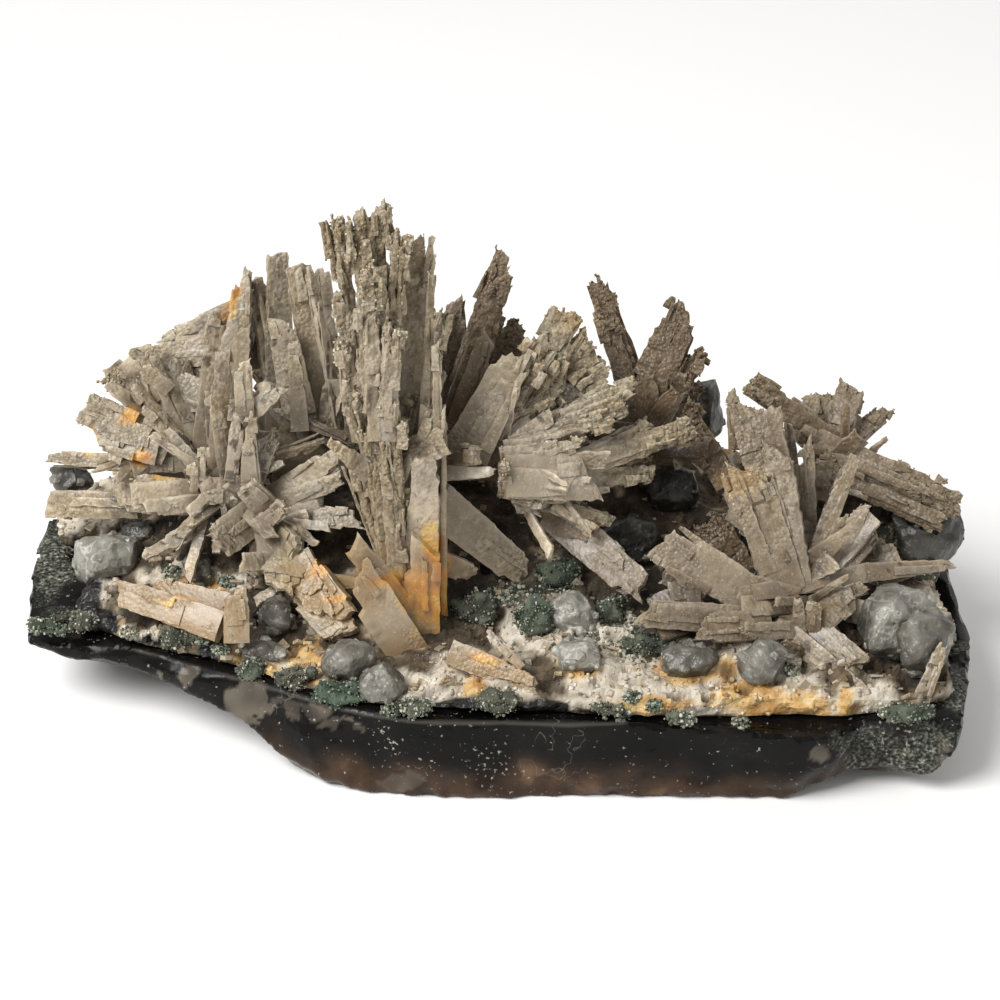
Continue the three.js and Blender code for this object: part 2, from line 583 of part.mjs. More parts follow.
function numbered(name, i) {
  return `${name}_${String(i + 1).padStart(2, "0")}`;
}

place("agate_slab", "slab", solid(slabGeometry(0)), solid(slabGeometry(GAP)));
place("limonite_crust", "crust", crustBlock(0), crustBlock(GAP));
for (const name of Object.keys(BLADES)) {
  place(name, "blades", spray(name, 0), spray(name, GAP));
}
LUMPS.forEach((lump, i) => {
  place(numbered("quartz_lump", i), "lumps", rough(lump, i, 0), rough(lump, i, GAP));
});
TUFTS.forEach((tuft, i) => {
  const seed = LUMPS.length + i;
  place(numbered("celadonite_tuft", i), "tufts", rough(tuft, seed, 0), rough(tuft, seed, GAP));
});

// The origin is under the middle of the specimen, on the plane it rests on.
const box = new THREE.Box3().setFromObject(specimen);
const centre = box.getCenter(new THREE.Vector3());
specimen.position.set(-centre.x, -centre.y, 0);

export default specimen;
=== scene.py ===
"""Quartz pseudomorph specimen: sprays of bladed quartz after anhydrite on a slab of smoky agate."""

import itertools
import math

import bpy
import numpy as np
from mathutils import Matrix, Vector
from mathutils.bvhtree import BVHTree


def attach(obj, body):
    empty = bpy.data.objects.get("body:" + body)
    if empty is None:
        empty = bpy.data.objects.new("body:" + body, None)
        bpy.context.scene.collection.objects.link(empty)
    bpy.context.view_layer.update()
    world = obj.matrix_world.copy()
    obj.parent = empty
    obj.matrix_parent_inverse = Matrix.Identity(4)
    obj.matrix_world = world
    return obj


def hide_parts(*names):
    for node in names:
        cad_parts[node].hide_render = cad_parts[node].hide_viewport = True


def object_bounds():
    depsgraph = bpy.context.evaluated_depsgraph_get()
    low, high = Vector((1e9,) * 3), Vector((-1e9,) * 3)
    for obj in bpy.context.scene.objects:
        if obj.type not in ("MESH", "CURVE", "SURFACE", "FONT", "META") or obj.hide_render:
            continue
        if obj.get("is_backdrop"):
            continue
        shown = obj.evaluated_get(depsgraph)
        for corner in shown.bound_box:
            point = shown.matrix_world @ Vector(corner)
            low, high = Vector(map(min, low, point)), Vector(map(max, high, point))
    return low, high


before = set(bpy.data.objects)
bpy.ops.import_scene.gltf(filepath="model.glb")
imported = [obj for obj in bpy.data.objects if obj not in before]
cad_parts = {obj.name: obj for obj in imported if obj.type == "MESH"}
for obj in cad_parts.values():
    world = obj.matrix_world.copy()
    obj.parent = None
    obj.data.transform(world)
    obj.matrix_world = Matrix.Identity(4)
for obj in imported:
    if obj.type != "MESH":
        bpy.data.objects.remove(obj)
cad_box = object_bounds()
bpy.ops.object.select_all(action="DESELECT")
scene = bpy.context.scene

# ---- The stand and the light -----------------------------------------------------------------
# A pale matt table top with no edge in sight, a large soft lamp above the left of the show side,
# weak ones on the right and behind, and a lens that looks down at the specimen by 30 degrees.

MM = 0.001
DRAWN_MIDDLE = np.array((-1.403, 45.765, 0.0))  # middle of the specimen in its drawing's frame, mm
SIGHT_TILT = math.radians(30)
SIGHT_DISTANCE = 472.0  # from the eye to the drawing plane, mm
FLOOR_SIZE = 12  # m, so that its far end stays out of sight
PLANE_POINT = np.array((0.0, 50.0, 36.0)) - DRAWN_MIDDLE
PLANE_UP = np.array((0.0, math.sin(SIGHT_TILT), math.cos(SIGHT_TILT)))
TO_EYE = np.array((0.0, -math.cos(SIGHT_TILT), math.sin(SIGHT_TILT)))
EYE = PLANE_POINT + SIGHT_DISTANCE * TO_EYE


def linear(hex_code):
    """An sRGB hex colour as linear RGBA."""
    channels = [int(hex_code[i : i + 2], 16) / 255 for i in (0, 2, 4)]
    curved = [c / 12.92 if c <= 0.04045 else ((c + 0.055) / 1.055) ** 2.4 for c in channels]
    return (*curved, 1.0)


def finish(name):
    """A new material with only its output and its shader."""
    material = bpy.data.materials.new(name)
    material.use_nodes = True
    return material


def add(material, kind, *inputs, stops=(), **settings):
    """Adds a node and gives its result back, which is its Fac where it has one.

    The inputs go to its sockets from the top, as values, hex colours or results to link from. A
    setting is one of its properties, or a socket by its name with _ for each space.
    """
    tree = material.node_tree
    if kind == "BsdfPrincipled":
        node = tree.nodes["Principled BSDF"]
    else:
        node = tree.nodes.new(f"ShaderNode{kind}")
    if stops:
        ramp = node.color_ramp.elements
        while len(ramp) < len(stops):
            ramp.new(1.0)
        for stop, (place, colour) in zip(ramp, stops):
            stop.position = place
            stop.color = linear(colour)
    for name in [name for name in settings if hasattr(node, name)]:
        setattr(node, name, settings.pop(name))
    sockets = [socket for socket in node.inputs if socket.enabled]
    pairs = [*zip(sockets, inputs)]
    pairs += [(node.inputs[name.replace("_", " ")], value) for name, value in settings.items()]
    for socket, value in pairs:
        if isinstance(value, bpy.types.NodeSocket):
            tree.links.new(value, socket)
        else:
            socket.default_value = linear(value) if isinstance(value, str) else value
    results = [socket for socket in node.outputs if socket.enabled]
    return next((socket for socket in results if socket.name == "Fac"), results[0])


def turn_towards(thing, place, target):
    """Puts a lamp or the camera at a place, facing the target."""
    thing.location = Vector(place)
    thing.rotation_euler = (Vector(target) - Vector(place)).to_track_quat("-Z", "Y").to_euler()


bpy.ops.mesh.primitive_plane_add(size=FLOOR_SIZE)
floor = bpy.context.object
floor.name = "floor"
# White lacquer, rubbed matt: it takes soft shadows and mirrors nothing.
table_top = finish("matt white table top")
add(table_top, "BsdfPrincipled", Base_Color="F4F3F1", Roughness=0.9)
floor.data.materials.append(table_top)
floor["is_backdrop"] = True

LAMP_TARGET = (0, 0, 0.04)
LAMPS = [  # name, place, shape, size in m, watts
    ("lamp_left", (-0.55, -0.42, 0.8), "DISK", 0.6, 13.5),
    ("lamp_right", (0.7, -0.6, 0.5), "SQUARE", 0.9, 1.2),
    ("lamp_back", (0.25, 0.8, 0.7), "SQUARE", 0.9, 2),
]
for name, place, shape, size, watts in LAMPS:
    bpy.ops.object.light_add(type="AREA")
    lamp = bpy.context.object
    lamp.name = name
    lamp.data.shape = shape
    lamp.data.size = size
    lamp.data.energy = watts
    turn_towards(lamp, place, LAMP_TARGET)

sky = bpy.data.worlds.new("white room")
sky.use_nodes = True
glow = sky.node_tree.nodes["Background"].inputs
glow["Color"].default_value = linear("FFFFFF")
glow["Strength"].default_value = 0.42
scene.world = sky
scene.view_settings.view_transform = "Standard"

bpy.ops.object.camera_add()
camera = bpy.context.object
camera.name = "camera"
camera.data.lens = 85
camera.data.sensor_width = 36
camera.data.clip_start = 0.01
turn_towards(camera, EYE * MM, PLANE_POINT * MM)
scene.camera = camera

# ---- Smoky agate slab ------------------------------------------------------------------------
# A broken slab of near-black agate. Its sides are shell-like conchoidal fractures with a glassy
# gloss, honey brown where the stone thins towards the lower edge, and grey where it has flaked.


def hashed(n):
    """A repeatable value from 0 to 1 for each number."""
    s = np.sin(np.asarray(n, float) * 127.1 + 311.7) * 43758.5453
    return s - np.floor(s)


def grain(points, size, seed=0.0):
    """Smooth random values from -1 to 1 that change over size, in the points' units."""
    p = points / size + seed * 17.31
    cell = np.floor(p)
    f = p - cell
    f = f * f * (3 - 2 * f)
    total = np.zeros(len(points))
    for corner in itertools.product((0, 1), repeat=3):
        value = hashed((cell + corner) @ np.array((1.0, 57.3, 113.7)))
        weight = np.prod(np.where(np.array(corner) == 1, f, 1 - f), axis=1)
        total += weight * value
    return 2 * total - 1


def cells(points, size, seed=0.0):
    """Distance to the nearest of scattered centres, in cell sizes, and that centre's own value."""
    p = points / size + seed * 9.7
    home = np.floor(p)
    nearest = np.full(len(points), 9.0)
    own = np.zeros(len(points))
    for step in itertools.product((-1, 0, 1), repeat=3):
        cell = home + step
        key = cell @ np.array((1.0, 31.7, 71.3)) + seed
        centre = cell + np.stack([hashed(key), hashed(key + 0.37), hashed(key + 0.71)], axis=1)
        distance = np.linalg.norm(centre - p, axis=1)
        closer = distance < nearest
        nearest[closer] = distance[closer]
        own[closer] = hashed(key[closer] + 0.13)
    return nearest, own


def points_of(piece):
    flat = np.empty(len(piece.data.vertices) * 3)
    piece.data.vertices.foreach_get("co", flat)
    return flat.reshape(-1, 3) / MM


def normals_of(piece):
    flat = np.empty(len(piece.data.vertices) * 3)
    piece.data.vertex_normals.foreach_get("vector", flat)
    return flat.reshape(-1, 3)


def move_points(piece, points):
    piece.data.vertices.foreach_set("co", (points * MM).ravel())
    piece.data.update()


def write_values(piece, name, values):
    layer = piece.data.attributes.get(name) or piece.data.attributes.new(name, "FLOAT", "POINT")
    layer.data.foreach_set("value", np.asarray(values, np.float32))


def apply_modifier(piece, kind, **settings):
    bpy.context.view_layer.objects.active = piece
    modifier = piece.modifiers.new(kind.lower(), kind)
    for key, value in settings.items():
        setattr(modifier, key, value)
    bpy.ops.object.modifier_apply(modifier=modifier.name)


def shade_by_angle(piece, degrees):
    """Shades a piece smooth, but for the edges that turn more sharply than this."""
    piece.select_set(True)
    bpy.context.view_layer.objects.active = piece
    bpy.ops.object.shade_smooth_by_angle(angle=math.radians(degrees))
    piece.select_set(False)


def rough_copy(node, name, voxel):
    """A closed, evenly meshed copy of a node's solid, ready to be shaped; voxel in mm."""
    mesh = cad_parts[node].data.copy()
    mesh.materials.clear()
    piece = bpy.data.objects.new(name, mesh)
    scene.collection.objects.link(piece)
    bpy.context.view_layer.objects.active = piece
    piece.select_set(True)
    bpy.ops.object.mode_set(mode="EDIT")
    bpy.ops.mesh.select_all(action="SELECT")
    bpy.ops.mesh.remove_doubles(threshold=1e-6)
    bpy.ops.object.mode_set(mode="OBJECT")
    apply_modifier(piece, "REMESH", mode="VOXEL", voxel_size=voxel * MM)
    bpy.ops.object.select_all(action="DESELECT")
    return piece


def sight_places(points):
    """Where points are seen on the drawing plane: u to the right and v up from its middle, mm."""
    away = points - EYE
    depth = away @ -TO_EYE
    return away[:, 0] * SIGHT_DISTANCE / depth, (away @ PLANE_UP) * SIGHT_DISTANCE / depth


def blots(points, spots):
    """How strongly each point lies in one of the spots [u, v, half width, half height], 0 to 1."""
    u, v = sight_places(points)
    strongest = np.zeros(len(points))
    for spot_u, spot_v, half_u, half_v in spots:
        reach = np.hypot((u - spot_u) / half_u, (v - spot_v) / half_v)
        strongest = np.maximum(strongest, np.clip(1.6 - 1.1 * reach, 0, 1))
    return strongest


def soft_step(values, low, high):
    t = np.clip((values - low) / (high - low), 0, 1)
    return t * t * (3 - 2 * t)


SLAB_VOXEL = 0.7
SCALLOP, CHIP = 15.0, 4.5  # widths of a shell-like fracture and of a small chip on it, mm
LIP_START, LIP_END = 16.6, 17.3  # heights that the slab's pale upper rim lies between, mm
# Spots on the drawing plane: middle u and v, then half their width and height, mm.
FLAKES = [(-64.5, -35, 3.4, 1.6), (-50.6, -40, 3.4, 3.6), (-40, -42, 5.6, 1.5), (-32, -45, 4, 1.2)]
FLAKES += [(-19.6, -56, 3.4, 2), (63.4, -50.2, 2, 1.4), (88, -51, 2.2, 3)]
FROSTED = [(-22.5, -49.8, 2.6, 4.4), (-15.4, -53, 1.2, 2), (-2, -54, 7, 4), (26.6, -55, 1.2, 3)]
FROSTED += [(21.2, -52.6, 1.4, 0.6), (43.2, -51.8, 0.9, 0.5), (-87, -12, 4, 5), (82, -47, 8, 4)]
DUSTY = [(81, -49, 10, 5), (-89, -14, 5, 9), (90, -36, 4, 9)]

slab = rough_copy("agate_slab", "smoky_agate_slab", SLAB_VOXEL)
apply_modifier(slab, "SMOOTH", factor=0.5, iterations=3)
points = points_of(slab)
normals = normals_of(slab)
sideways = soft_step(1 - np.abs(normals[:, 2]), 0.15, 0.6)
stray = np.stack([grain(points, 5.0, k) for k in (1.0, 2.0, 3.0)], axis=1)
stray = 2.2 * stray + 0.9 * np.stack([grain(points, 1.8, k) for k in (4.0, 5.0, 6.0)], axis=1)
near_flake = blots(points + 0.5 * stray, FLAKES)
dish, _ = cells(points * (1, 1, 0.6), SCALLOP)
chip, own_chip = cells(points + 1.5 * grain(points, 4.0)[:, None], CHIP, 3.0)
flaked = soft_step(near_flake, 0.15, 0.3) * soft_step(own_chip, 0.3, 0.34)
edge = soft_step(7 - points[:, 2], 0, 6)
scoops = 1.1 * dish**2 + 0.3 + (0.9 * chip - 0.5) * (0.2 + flaked + 1.3 * edge)
points += normals * (sideways * scoops)[:, None]
points += normals * (0.1 * grain(points, 2.6) * (0.3 + sideways))[:, None]
points[:, 2] = np.maximum(points[:, 2], 0)
move_points(slab, points)
low = soft_step(11 - points[:, 2] + 3 * grain(points, 7.0), 0, 9)
write_values(slab, "honey", low * sideways)
write_values(slab, "flake", flaked * (0.3 + 0.7 * soft_step(grain(points, 4.5, 9.0), -0.5, 0.4)))
write_values(slab, "frosted", blots(points + stray, FROSTED))
write_values(slab, "lip", soft_step(points[:, 2], LIP_START, LIP_END) * sideways)
near_dust = blots(points + stray, DUSTY)
dusty = soft_step(near_dust + 0.9 * grain(points, 4.0, 5.0), 0.2, 1.1) * soft_step(near_dust, 0, 0.2)
write_values(slab, "dusty", dusty)

# Broken agate: black with a glassy gloss, brown where light gets in, and dull grey or white
# where it has flaked, been scratched or gathered dust.
agate = finish("smoky agate, conchoidal fracture")
coords = add(agate, "TexCoord").node.outputs["Object"]
mottle = add(agate, "TexNoise", coords, 120, 5)  # clouds of 8 mm
speck = add(agate, "TexNoise", coords, 1100, 3)  # chips of 0.9 mm
crumbly = add(agate, "TexNoise", coords, 1500, 5)  # dust of 0.7 mm, coarser than real dust
swirl = add(agate, "TexNoise", coords, 310, 1)  # scratches that curl over 3 mm
PARTS = ("honey", "flake", "frosted", "lip", "dusty")
honey, flake, frosted, lip, dusty = (add(agate, "Attribute", attribute_name=name) for name in PARTS)
black = add(agate, "ValToRGB", mottle, stops=[(0.3, "060606"), (0.75, "141211")])
brown = add(agate, "ValToRGB", mottle, stops=[(0.35, "241A12"), (0.6, "4A382A"), (0.75, "725A44")])
stops = [(0.4, "1B1C19"), (0.52, "44473E"), (0.64, "77776A"), (0.76, "B4B0A3")]
dust = add(agate, "ValToRGB", crumbly, stops=stops)
chips = add(agate, "Math", frosted, 0.08, speck, operation="MULTIPLY_ADD")
chips = add(agate, "MapRange", chips, 0.67, 0.78)
apart = add(agate, "Math", swirl, 0.5, operation="SUBTRACT")
apart = add(agate, "Math", apart, operation="ABSOLUTE")
scratch = add(agate, "MapRange", apart, 0.012, 0.004)
sparse = add(agate, "MapRange", mottle, 0.6, 0.66, 0, 0.2)
scratch = add(agate, "Math", scratch, sparse, operation="MULTIPLY")
rim = add(agate, "MapRange", lip, 0.2, 1.0, 0, 0.5)
stone = black
layers = [(honey, brown), (flake, "625A50"), (dusty, dust)]  # each lies over those before it
layers += [(chips, "A8A195"), (scratch, "A8A195"), (rim, "5E5A54")]
for share, colour in layers:
    stone = add(agate, "Mix", share, stone, colour, data_type="RGBA")
gloss = add(agate, "MapRange", mottle, 0.3, 0.7, 0.12, 0.32)
nick = add(agate, "Bump", Height=mottle, Strength=0.5, Distance=0.0008)
shader = {"Base_Color": stone, "Roughness": gloss, "Normal": nick}
add(agate, "BsdfPrincipled", IOR=1.54, Specular_IOR_Level=0.12, **shader)
slab.data.materials.append(agate)
shade_by_angle(slab, 30)
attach(slab, "root")
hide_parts("agate_slab")

# ---- Limonite-stained crust ------------------------------------------------------------------
# A porous bed of fine quartz over the slab: chalky white where it is clean, orange where iron has
# stained it, and olive brown between the blades, from dirt and painted shade, with more painted
# shade in its pits and where it is shut in. It grew as small knobs with pits between them, and
# loose crumbs of all its colours lie on it.

CRUST_VOXEL = 0.8
CRUST_KNOB, CRUST_GRAIN = 3.4, 1.7  # widths of the knobs it grew as, and of those on them, mm
CRUST_UNDERSIDE = 15.5  # height it ends at, inside the slab, mm
CRUMBS_TRIED, CRUMBS_KEPT = 15000, 5800  # those on bare or hidden places are dropped
WHITE_SPOTS = [(-85, 0, 9, 6), (-85.6, -21, 6, 1.8), (34, -37, 25, 8.5), (58, -42, 15, 6)]
WHITE_SPOTS += [(-4, -39.4, 13, 4), (-80, -17, 4, 3), (-43, -33, 8, 3), (74, -40, 5, 4)]
WHITE_SPOTS += [(-8, -34, 6, 4), (18, -28, 10, 6), (44, -43, 30, 4), (4, -26, 5, 5)]
WHITE_SPOTS += [(-20, -37, 8, 3), (-68, -27, 8, 2), (-62, -16, 10, 3)]
ORANGE_SPOTS = [(-86.5, 2.5, 3.5, 1.6), (38, -34, 8, 3.2), (45.5, -34, 2.4, 3), (58, -42, 11, 4.4)]
ORANGE_SPOTS += [(69, -41, 1.6, 4), (-39, -32, 3.4, 4.4), (-52, -31, 1.8, 1.8), (-5, -38, 2.4, 3.4)]
ORANGE_SPOTS += [(30, -41, 7, 2), (-60, -18, 5, 3), (-47, -34, 3, 2), (50, -39, 9, 3), (16, -33, 5, 3)]
BARE_SPOTS = [(-79, -25, 2.2, 3.2), (-70, -28, 3.8, 1.4), (-58, -30, 2.8, 2), (-11, -42.4, 5.4, 1.8)]
BARE_SPOTS += [(1, -41.4, 14, 2.4), (-84, -16, 4.6, 9), (86, -44, 5, 2), (-34, -39, 7, 1.2)]
BARE_SPOTS += [(44, -44, 5, 1)]
MOSSY_SPOTS = [(8, -20, 12, 7), (22, -26, 10, 5), (-60, -22, 9, 3), (-48, -30, 5, 2), (30, -30, 7, 4)]


def tree_of(pieces):
    """The faces of some pieces as one tree that rays can be cast at, in mm."""
    corners, faces = [], []
    for piece in pieces:
        start = len(corners)
        corners += points_of(piece).tolist()
        faces += [[start + i for i in face.vertices] for face in piece.data.polygons]
    return BVHTree.FromPolygons(corners, faces)


solids = tree_of(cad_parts.values())
RAYS, GOLDEN_ANGLE = 14, 2.4  # rays from each point, and the turn from one to the next
RAY_LIFT, RAY_REACH = 1.6, 34.0  # how far off the stone a ray starts, and how far it looks, mm
RAY_SHARE = 1.3  # points closer than this share their rays
turn = np.arange(RAYS) * GOLDEN_ANGLE
rise = 1 - (np.arange(RAYS) + 0.5) / 10
LOOKS_OUT = np.stack([np.cos(turn), np.sin(turn), rise], axis=1)
LOOKS_OUT[:, 0:2] *= np.sqrt(np.maximum(0.0, 1 - rise**2))[:, None]


# Its values paint shade into the colours of crust, blades, lumps and plates.
def shut_in(points, normals):
    """How far the stone around each point hides it from the open air, 0 to 1."""
    starts = np.round((points + RAY_LIFT * normals) / RAY_SHARE)
    spots, which = np.unique(starts, axis=0, return_inverse=True)
    hidden = np.zeros(len(spots))
    ways = [Vector(way) for way in LOOKS_OUT]
    for i, spot in enumerate((spots * RAY_SHARE).tolist()):
        for way in ways:
            place, facing, _, distance = solids.ray_cast(spot, way, RAY_REACH)
            if place is not None:
                hidden[i] += 1 - 0.6 * distance / RAY_REACH if facing.dot(way) < 0 else 0.45
    return (hidden / len(ways))[which.ravel()]


def crumb_blank(kind):
    """The corners and faces of a small lump, to be scattered by the hundred."""
    if kind == "cube":
        bpy.ops.mesh.primitive_cube_add(size=1.5)
    else:
        bpy.ops.mesh.primitive_ico_sphere_add(subdivisions=1, radius=1)
    blank = bpy.context.object
    corners = points_of(blank) * MM
    faces = np.array([face.vertices[:] for face in blank.data.polygons])
    bpy.data.objects.remove(blank)
    return corners, faces


def scatter(name, blank, places, sizes, values, flat=1.0, worn=False):
    """One mesh of many small crumbs, each turned and pulled out of shape its own way.

    flat thins them into plates, and worn ones are shaded round.
    """
    corners, faces = blank
    count = len(places)
    keys = np.arange(count) + 3.7 * len(name)
    pull = 0.6 + 0.8 * np.stack([hashed(keys + 0.1), hashed(keys + 0.3), hashed(keys + 0.5)], axis=1)
    angle, tip = 6.28 * hashed(keys + 0.2), 6.28 * hashed(keys + 0.4)
    shape = corners[None] * pull[:, None] * (1, 1, flat)
    x, y, z = shape[..., 0], shape[..., 1], shape[..., 2]
    c, s = np.cos(angle)[:, None], np.sin(angle)[:, None]
    x, y = c * x - s * y, s * x + c * y
    c, s = np.cos(tip)[:, None], np.sin(tip)[:, None]
    y, z = c * y - s * z, s * y + c * z
    points = places[:, None] + np.stack([x, y, z], axis=2) * sizes[:, None, None]
    first = np.arange(count) * len(corners)
    faces = (faces[None] + first[:, None, None]).reshape(-1, faces.shape[1])
    mesh = bpy.data.meshes.new(name)
    mesh.from_pydata((points.reshape(-1, 3) * MM).tolist(), [], faces.tolist())
    mesh.polygons.foreach_set("use_smooth", np.full(len(mesh.polygons), worn))
    piece = bpy.data.objects.new(name, mesh)
    scene.collection.objects.link(piece)
    for key, value in values.items():
        write_values(piece, key, np.repeat(value, len(corners)))
    return piece


def join_to(piece, others):
    """Makes the others part of the piece's own mesh."""
    for other in (piece, *others):
        other.select_set(True)
    bpy.context.view_layer.objects.active = piece
    bpy.ops.object.join()
    piece.select_set(False)


def picked(keys, count):
    """The number of one of count points, drawn for each key."""
    return np.floor(hashed(keys) * count).astype(int)


def stray_by(reach, picks):
    """A small shift for each picked point, by up to half the reach each way."""
    return reach * (np.stack([hashed(picks + k) for k in (0.15, 0.35, 0.55)], axis=1) - 0.5)


sugar = crumb_blank("cube")
pebble = crumb_blank("ball")

crust = rough_copy("limonite_crust", "limonite_crust_bed", CRUST_VOXEL)
points = points_of(crust)
normals = normals_of(crust)
upward = soft_step(normals[:, 2], -0.6, 0.3)
knob, own = cells(points, CRUST_KNOB, 2.0)
small, _ = cells(points, CRUST_GRAIN, 5.0)
hollow = soft_step(0.75 - knob, 0.1, 0.5) * (own < 0.2)
swell = 0.9 * (0.75 - knob) + 0.7 * (0.7 - small) + 0.6 * grain(points, 6.0) - 2.2 * hollow
rough = soft_step(blots(points, WHITE_SPOTS), 0.1, 0.5) * soft_step(30 - points[:, 1], 0, 20)
outer = np.maximum(soft_step(points[:, 1], 10, 30), soft_step(points[:, 0], 68, 82))
rough = np.maximum(rough, 0.5 * soft_step(-20 - points[:, 1], 0, 8) + 1.1 * outer)
swell += rough * (1.3 * grain(points, 3.4, 3.0) + 0.7 * grain(points, 1.7, 7.0))
points += normals * (upward * swell)[:, None]
points[:, 2] = np.maximum(points[:, 2], CRUST_UNDERSIDE)
move_points(crust, points)
normals = normals_of(crust)
# How shut in each point is: it paints shade into the crust's colours, and keeps the white crust behind
# to open places.
closed = shut_in(points, normals)
crust_points, crust_normals = points, normals
wild = 0.45 * grain(points, 5.0, 2.0) + 0.35 * grain(points, 2.0, 4.0)
white = soft_step(blots(points, WHITE_SPOTS) + wild, 0.2, 0.55)
behind = outer * soft_step(grain(points, 11.0, 8.0), -0.4, 0.2)
white = np.maximum(white, behind * soft_step(wild, -0.2, 0.2) * soft_step(0.55 - closed, 0, 0.15))
rusty_back = 0.9 * behind * soft_step(grain(points, 8.0, 11.0), 0.2, 0.5)
stain = soft_step(np.maximum(blots(points, ORANGE_SPOTS), rusty_back) + 0.9 * wild, 0.02, 0.82)
near_moss = np.maximum(blots(points, MOSSY_SPOTS), 0.6 * outer * (1 - white))
crust_looks = {
    "white": white,
    "stain": stain,
    "bare": soft_step(blots(points, BARE_SPOTS) + 0.9 * wild, 0.4, 0.6),
    "mossy": soft_step(near_moss + 1.4 * wild, 0.55, 1.0) * (near_moss > 0.1),
    "pit": np.clip(hollow + 0.6 * soft_step(knob, 0.6, 0.95) + 0.4 * soft_step(small, 0.6, 0.95), 0, 1),
    "closed": closed * (1 - 0.5 * white),
    "crumb": np.full(len(points), 0.5),
}
for key, value in crust_looks.items():
    write_values(crust, key, value)
picks = picked(np.arange(CRUMBS_TRIED) * 1.37, len(points))
picks = picks[(normals[picks, 2] > -0.4) & (crust_looks["bare"][picks] < 0.5)][:CRUMBS_KEPT]
clean_share = np.maximum(crust_looks["white"], crust_looks["stain"])[picks]
sizes = 0.14 + (0.2 + 0.3 * clean_share) * hashed(picks + 0.5) ** 2
looks = {key: value[picks] for key, value in crust_looks.items()}
looks["crumb"] = hashed(picks + 0.9)
looks["pit"] = 0.3 * looks["pit"]
join_to(crust, [scatter("crust_crumbs", sugar, points[picks], sizes, looks, worn=True)])

# Porous quartz: matt and chalky, yellow to orange where iron has settled in it, mossy green in
# hollows, near black with a slight gloss where the agate is bare, olive brown elsewhere from dirt
# and painted shade, and painted shade darkens its pits and where it is shut in.
bed = finish("porous quartz crust, iron stained")
coords = add(bed, "TexCoord").node.outputs["Object"]
patch = add(bed, "TexNoise", coords, 300, 5)  # patches of 3 mm
fine = add(bed, "TexNoise", coords, 1300, 3)  # pores of 0.8 mm, coarser than real ones
PARTS = ("white", "stain", "bare", "mossy", "pit", "closed", "crumb")
parts = [add(bed, "Attribute", attribute_name=name) for name in PARTS]
white, stain, bare, mossy, pit, closed, crumb = parts
vary = add(bed, "Math", crumb, 0.7, patch, operation="MULTIPLY_ADD")
vary = add(bed, "Math", vary, 0.35, operation="SUBTRACT")
# The olive brown base: dirt, and painted shade between the blades.
stops = [(0.2, "2A2218"), (0.45, "51432F"), (0.65, "776751"), (0.85, "9E9179")]
dirt_and_shade = add(bed, "ValToRGB", vary, stops=stops)
clean = add(bed, "ValToRGB", vary, stops=[(0.2, "9D9079"), (0.45, "C2B8A6"), (0.8, "DAD2C5")])
stops = [(0.15, "8A5A22"), (0.4, "BA8B48"), (0.6, "CFAE72"), (0.85, "DECDA4")]
rust = add(bed, "ValToRGB", vary, stops=stops)
green = add(bed, "ValToRGB", vary, stops=[(0.2, "1B241E"), (0.5, "344238"), (0.8, "6B7566")])
spread = add(bed, "Math", fine, 1.6, stain, operation="MULTIPLY_ADD")
spread = add(bed, "MapRange", spread, 0.95, 1.85)
# Painted shade: in the pits, and where the crust is shut in.
deep = add(bed, "Math", pit, 0.75, operation="MULTIPLY")
shadowy = add(bed, "MapRange", closed, 0.3, 0.75, 0, 0.85)
stone = dirt_and_shade
layers = [(mossy, green), (white, clean), (spread, rust)]
layers += [(deep, "4B3C26"), (shadowy, "1C1710"), (bare, "131110")]
for share, colour in layers:
    stone = add(bed, "Mix", share, stone, colour, data_type="RGBA")
rub = add(bed, "Bump", Height=fine, Strength=0.8, Distance=0.0005)
gloss = add(bed, "MapRange", bare, 0, 1, 0.85, 0.35)
add(bed, "BsdfPrincipled", Base_Color=stone, Roughness=gloss, Normal=rub)
crust.data.materials.append(bed)
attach(crust, "root")
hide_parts("limonite_crust")

# ---- Sprays of bladed quartz -----------------------------------------------------------------
# Quartz that has replaced anhydrite blade by blade. Each blade is a bundle of flat laths with
# straight striated sides, stepped where some stopped short, and ragged, crusted broken tips.

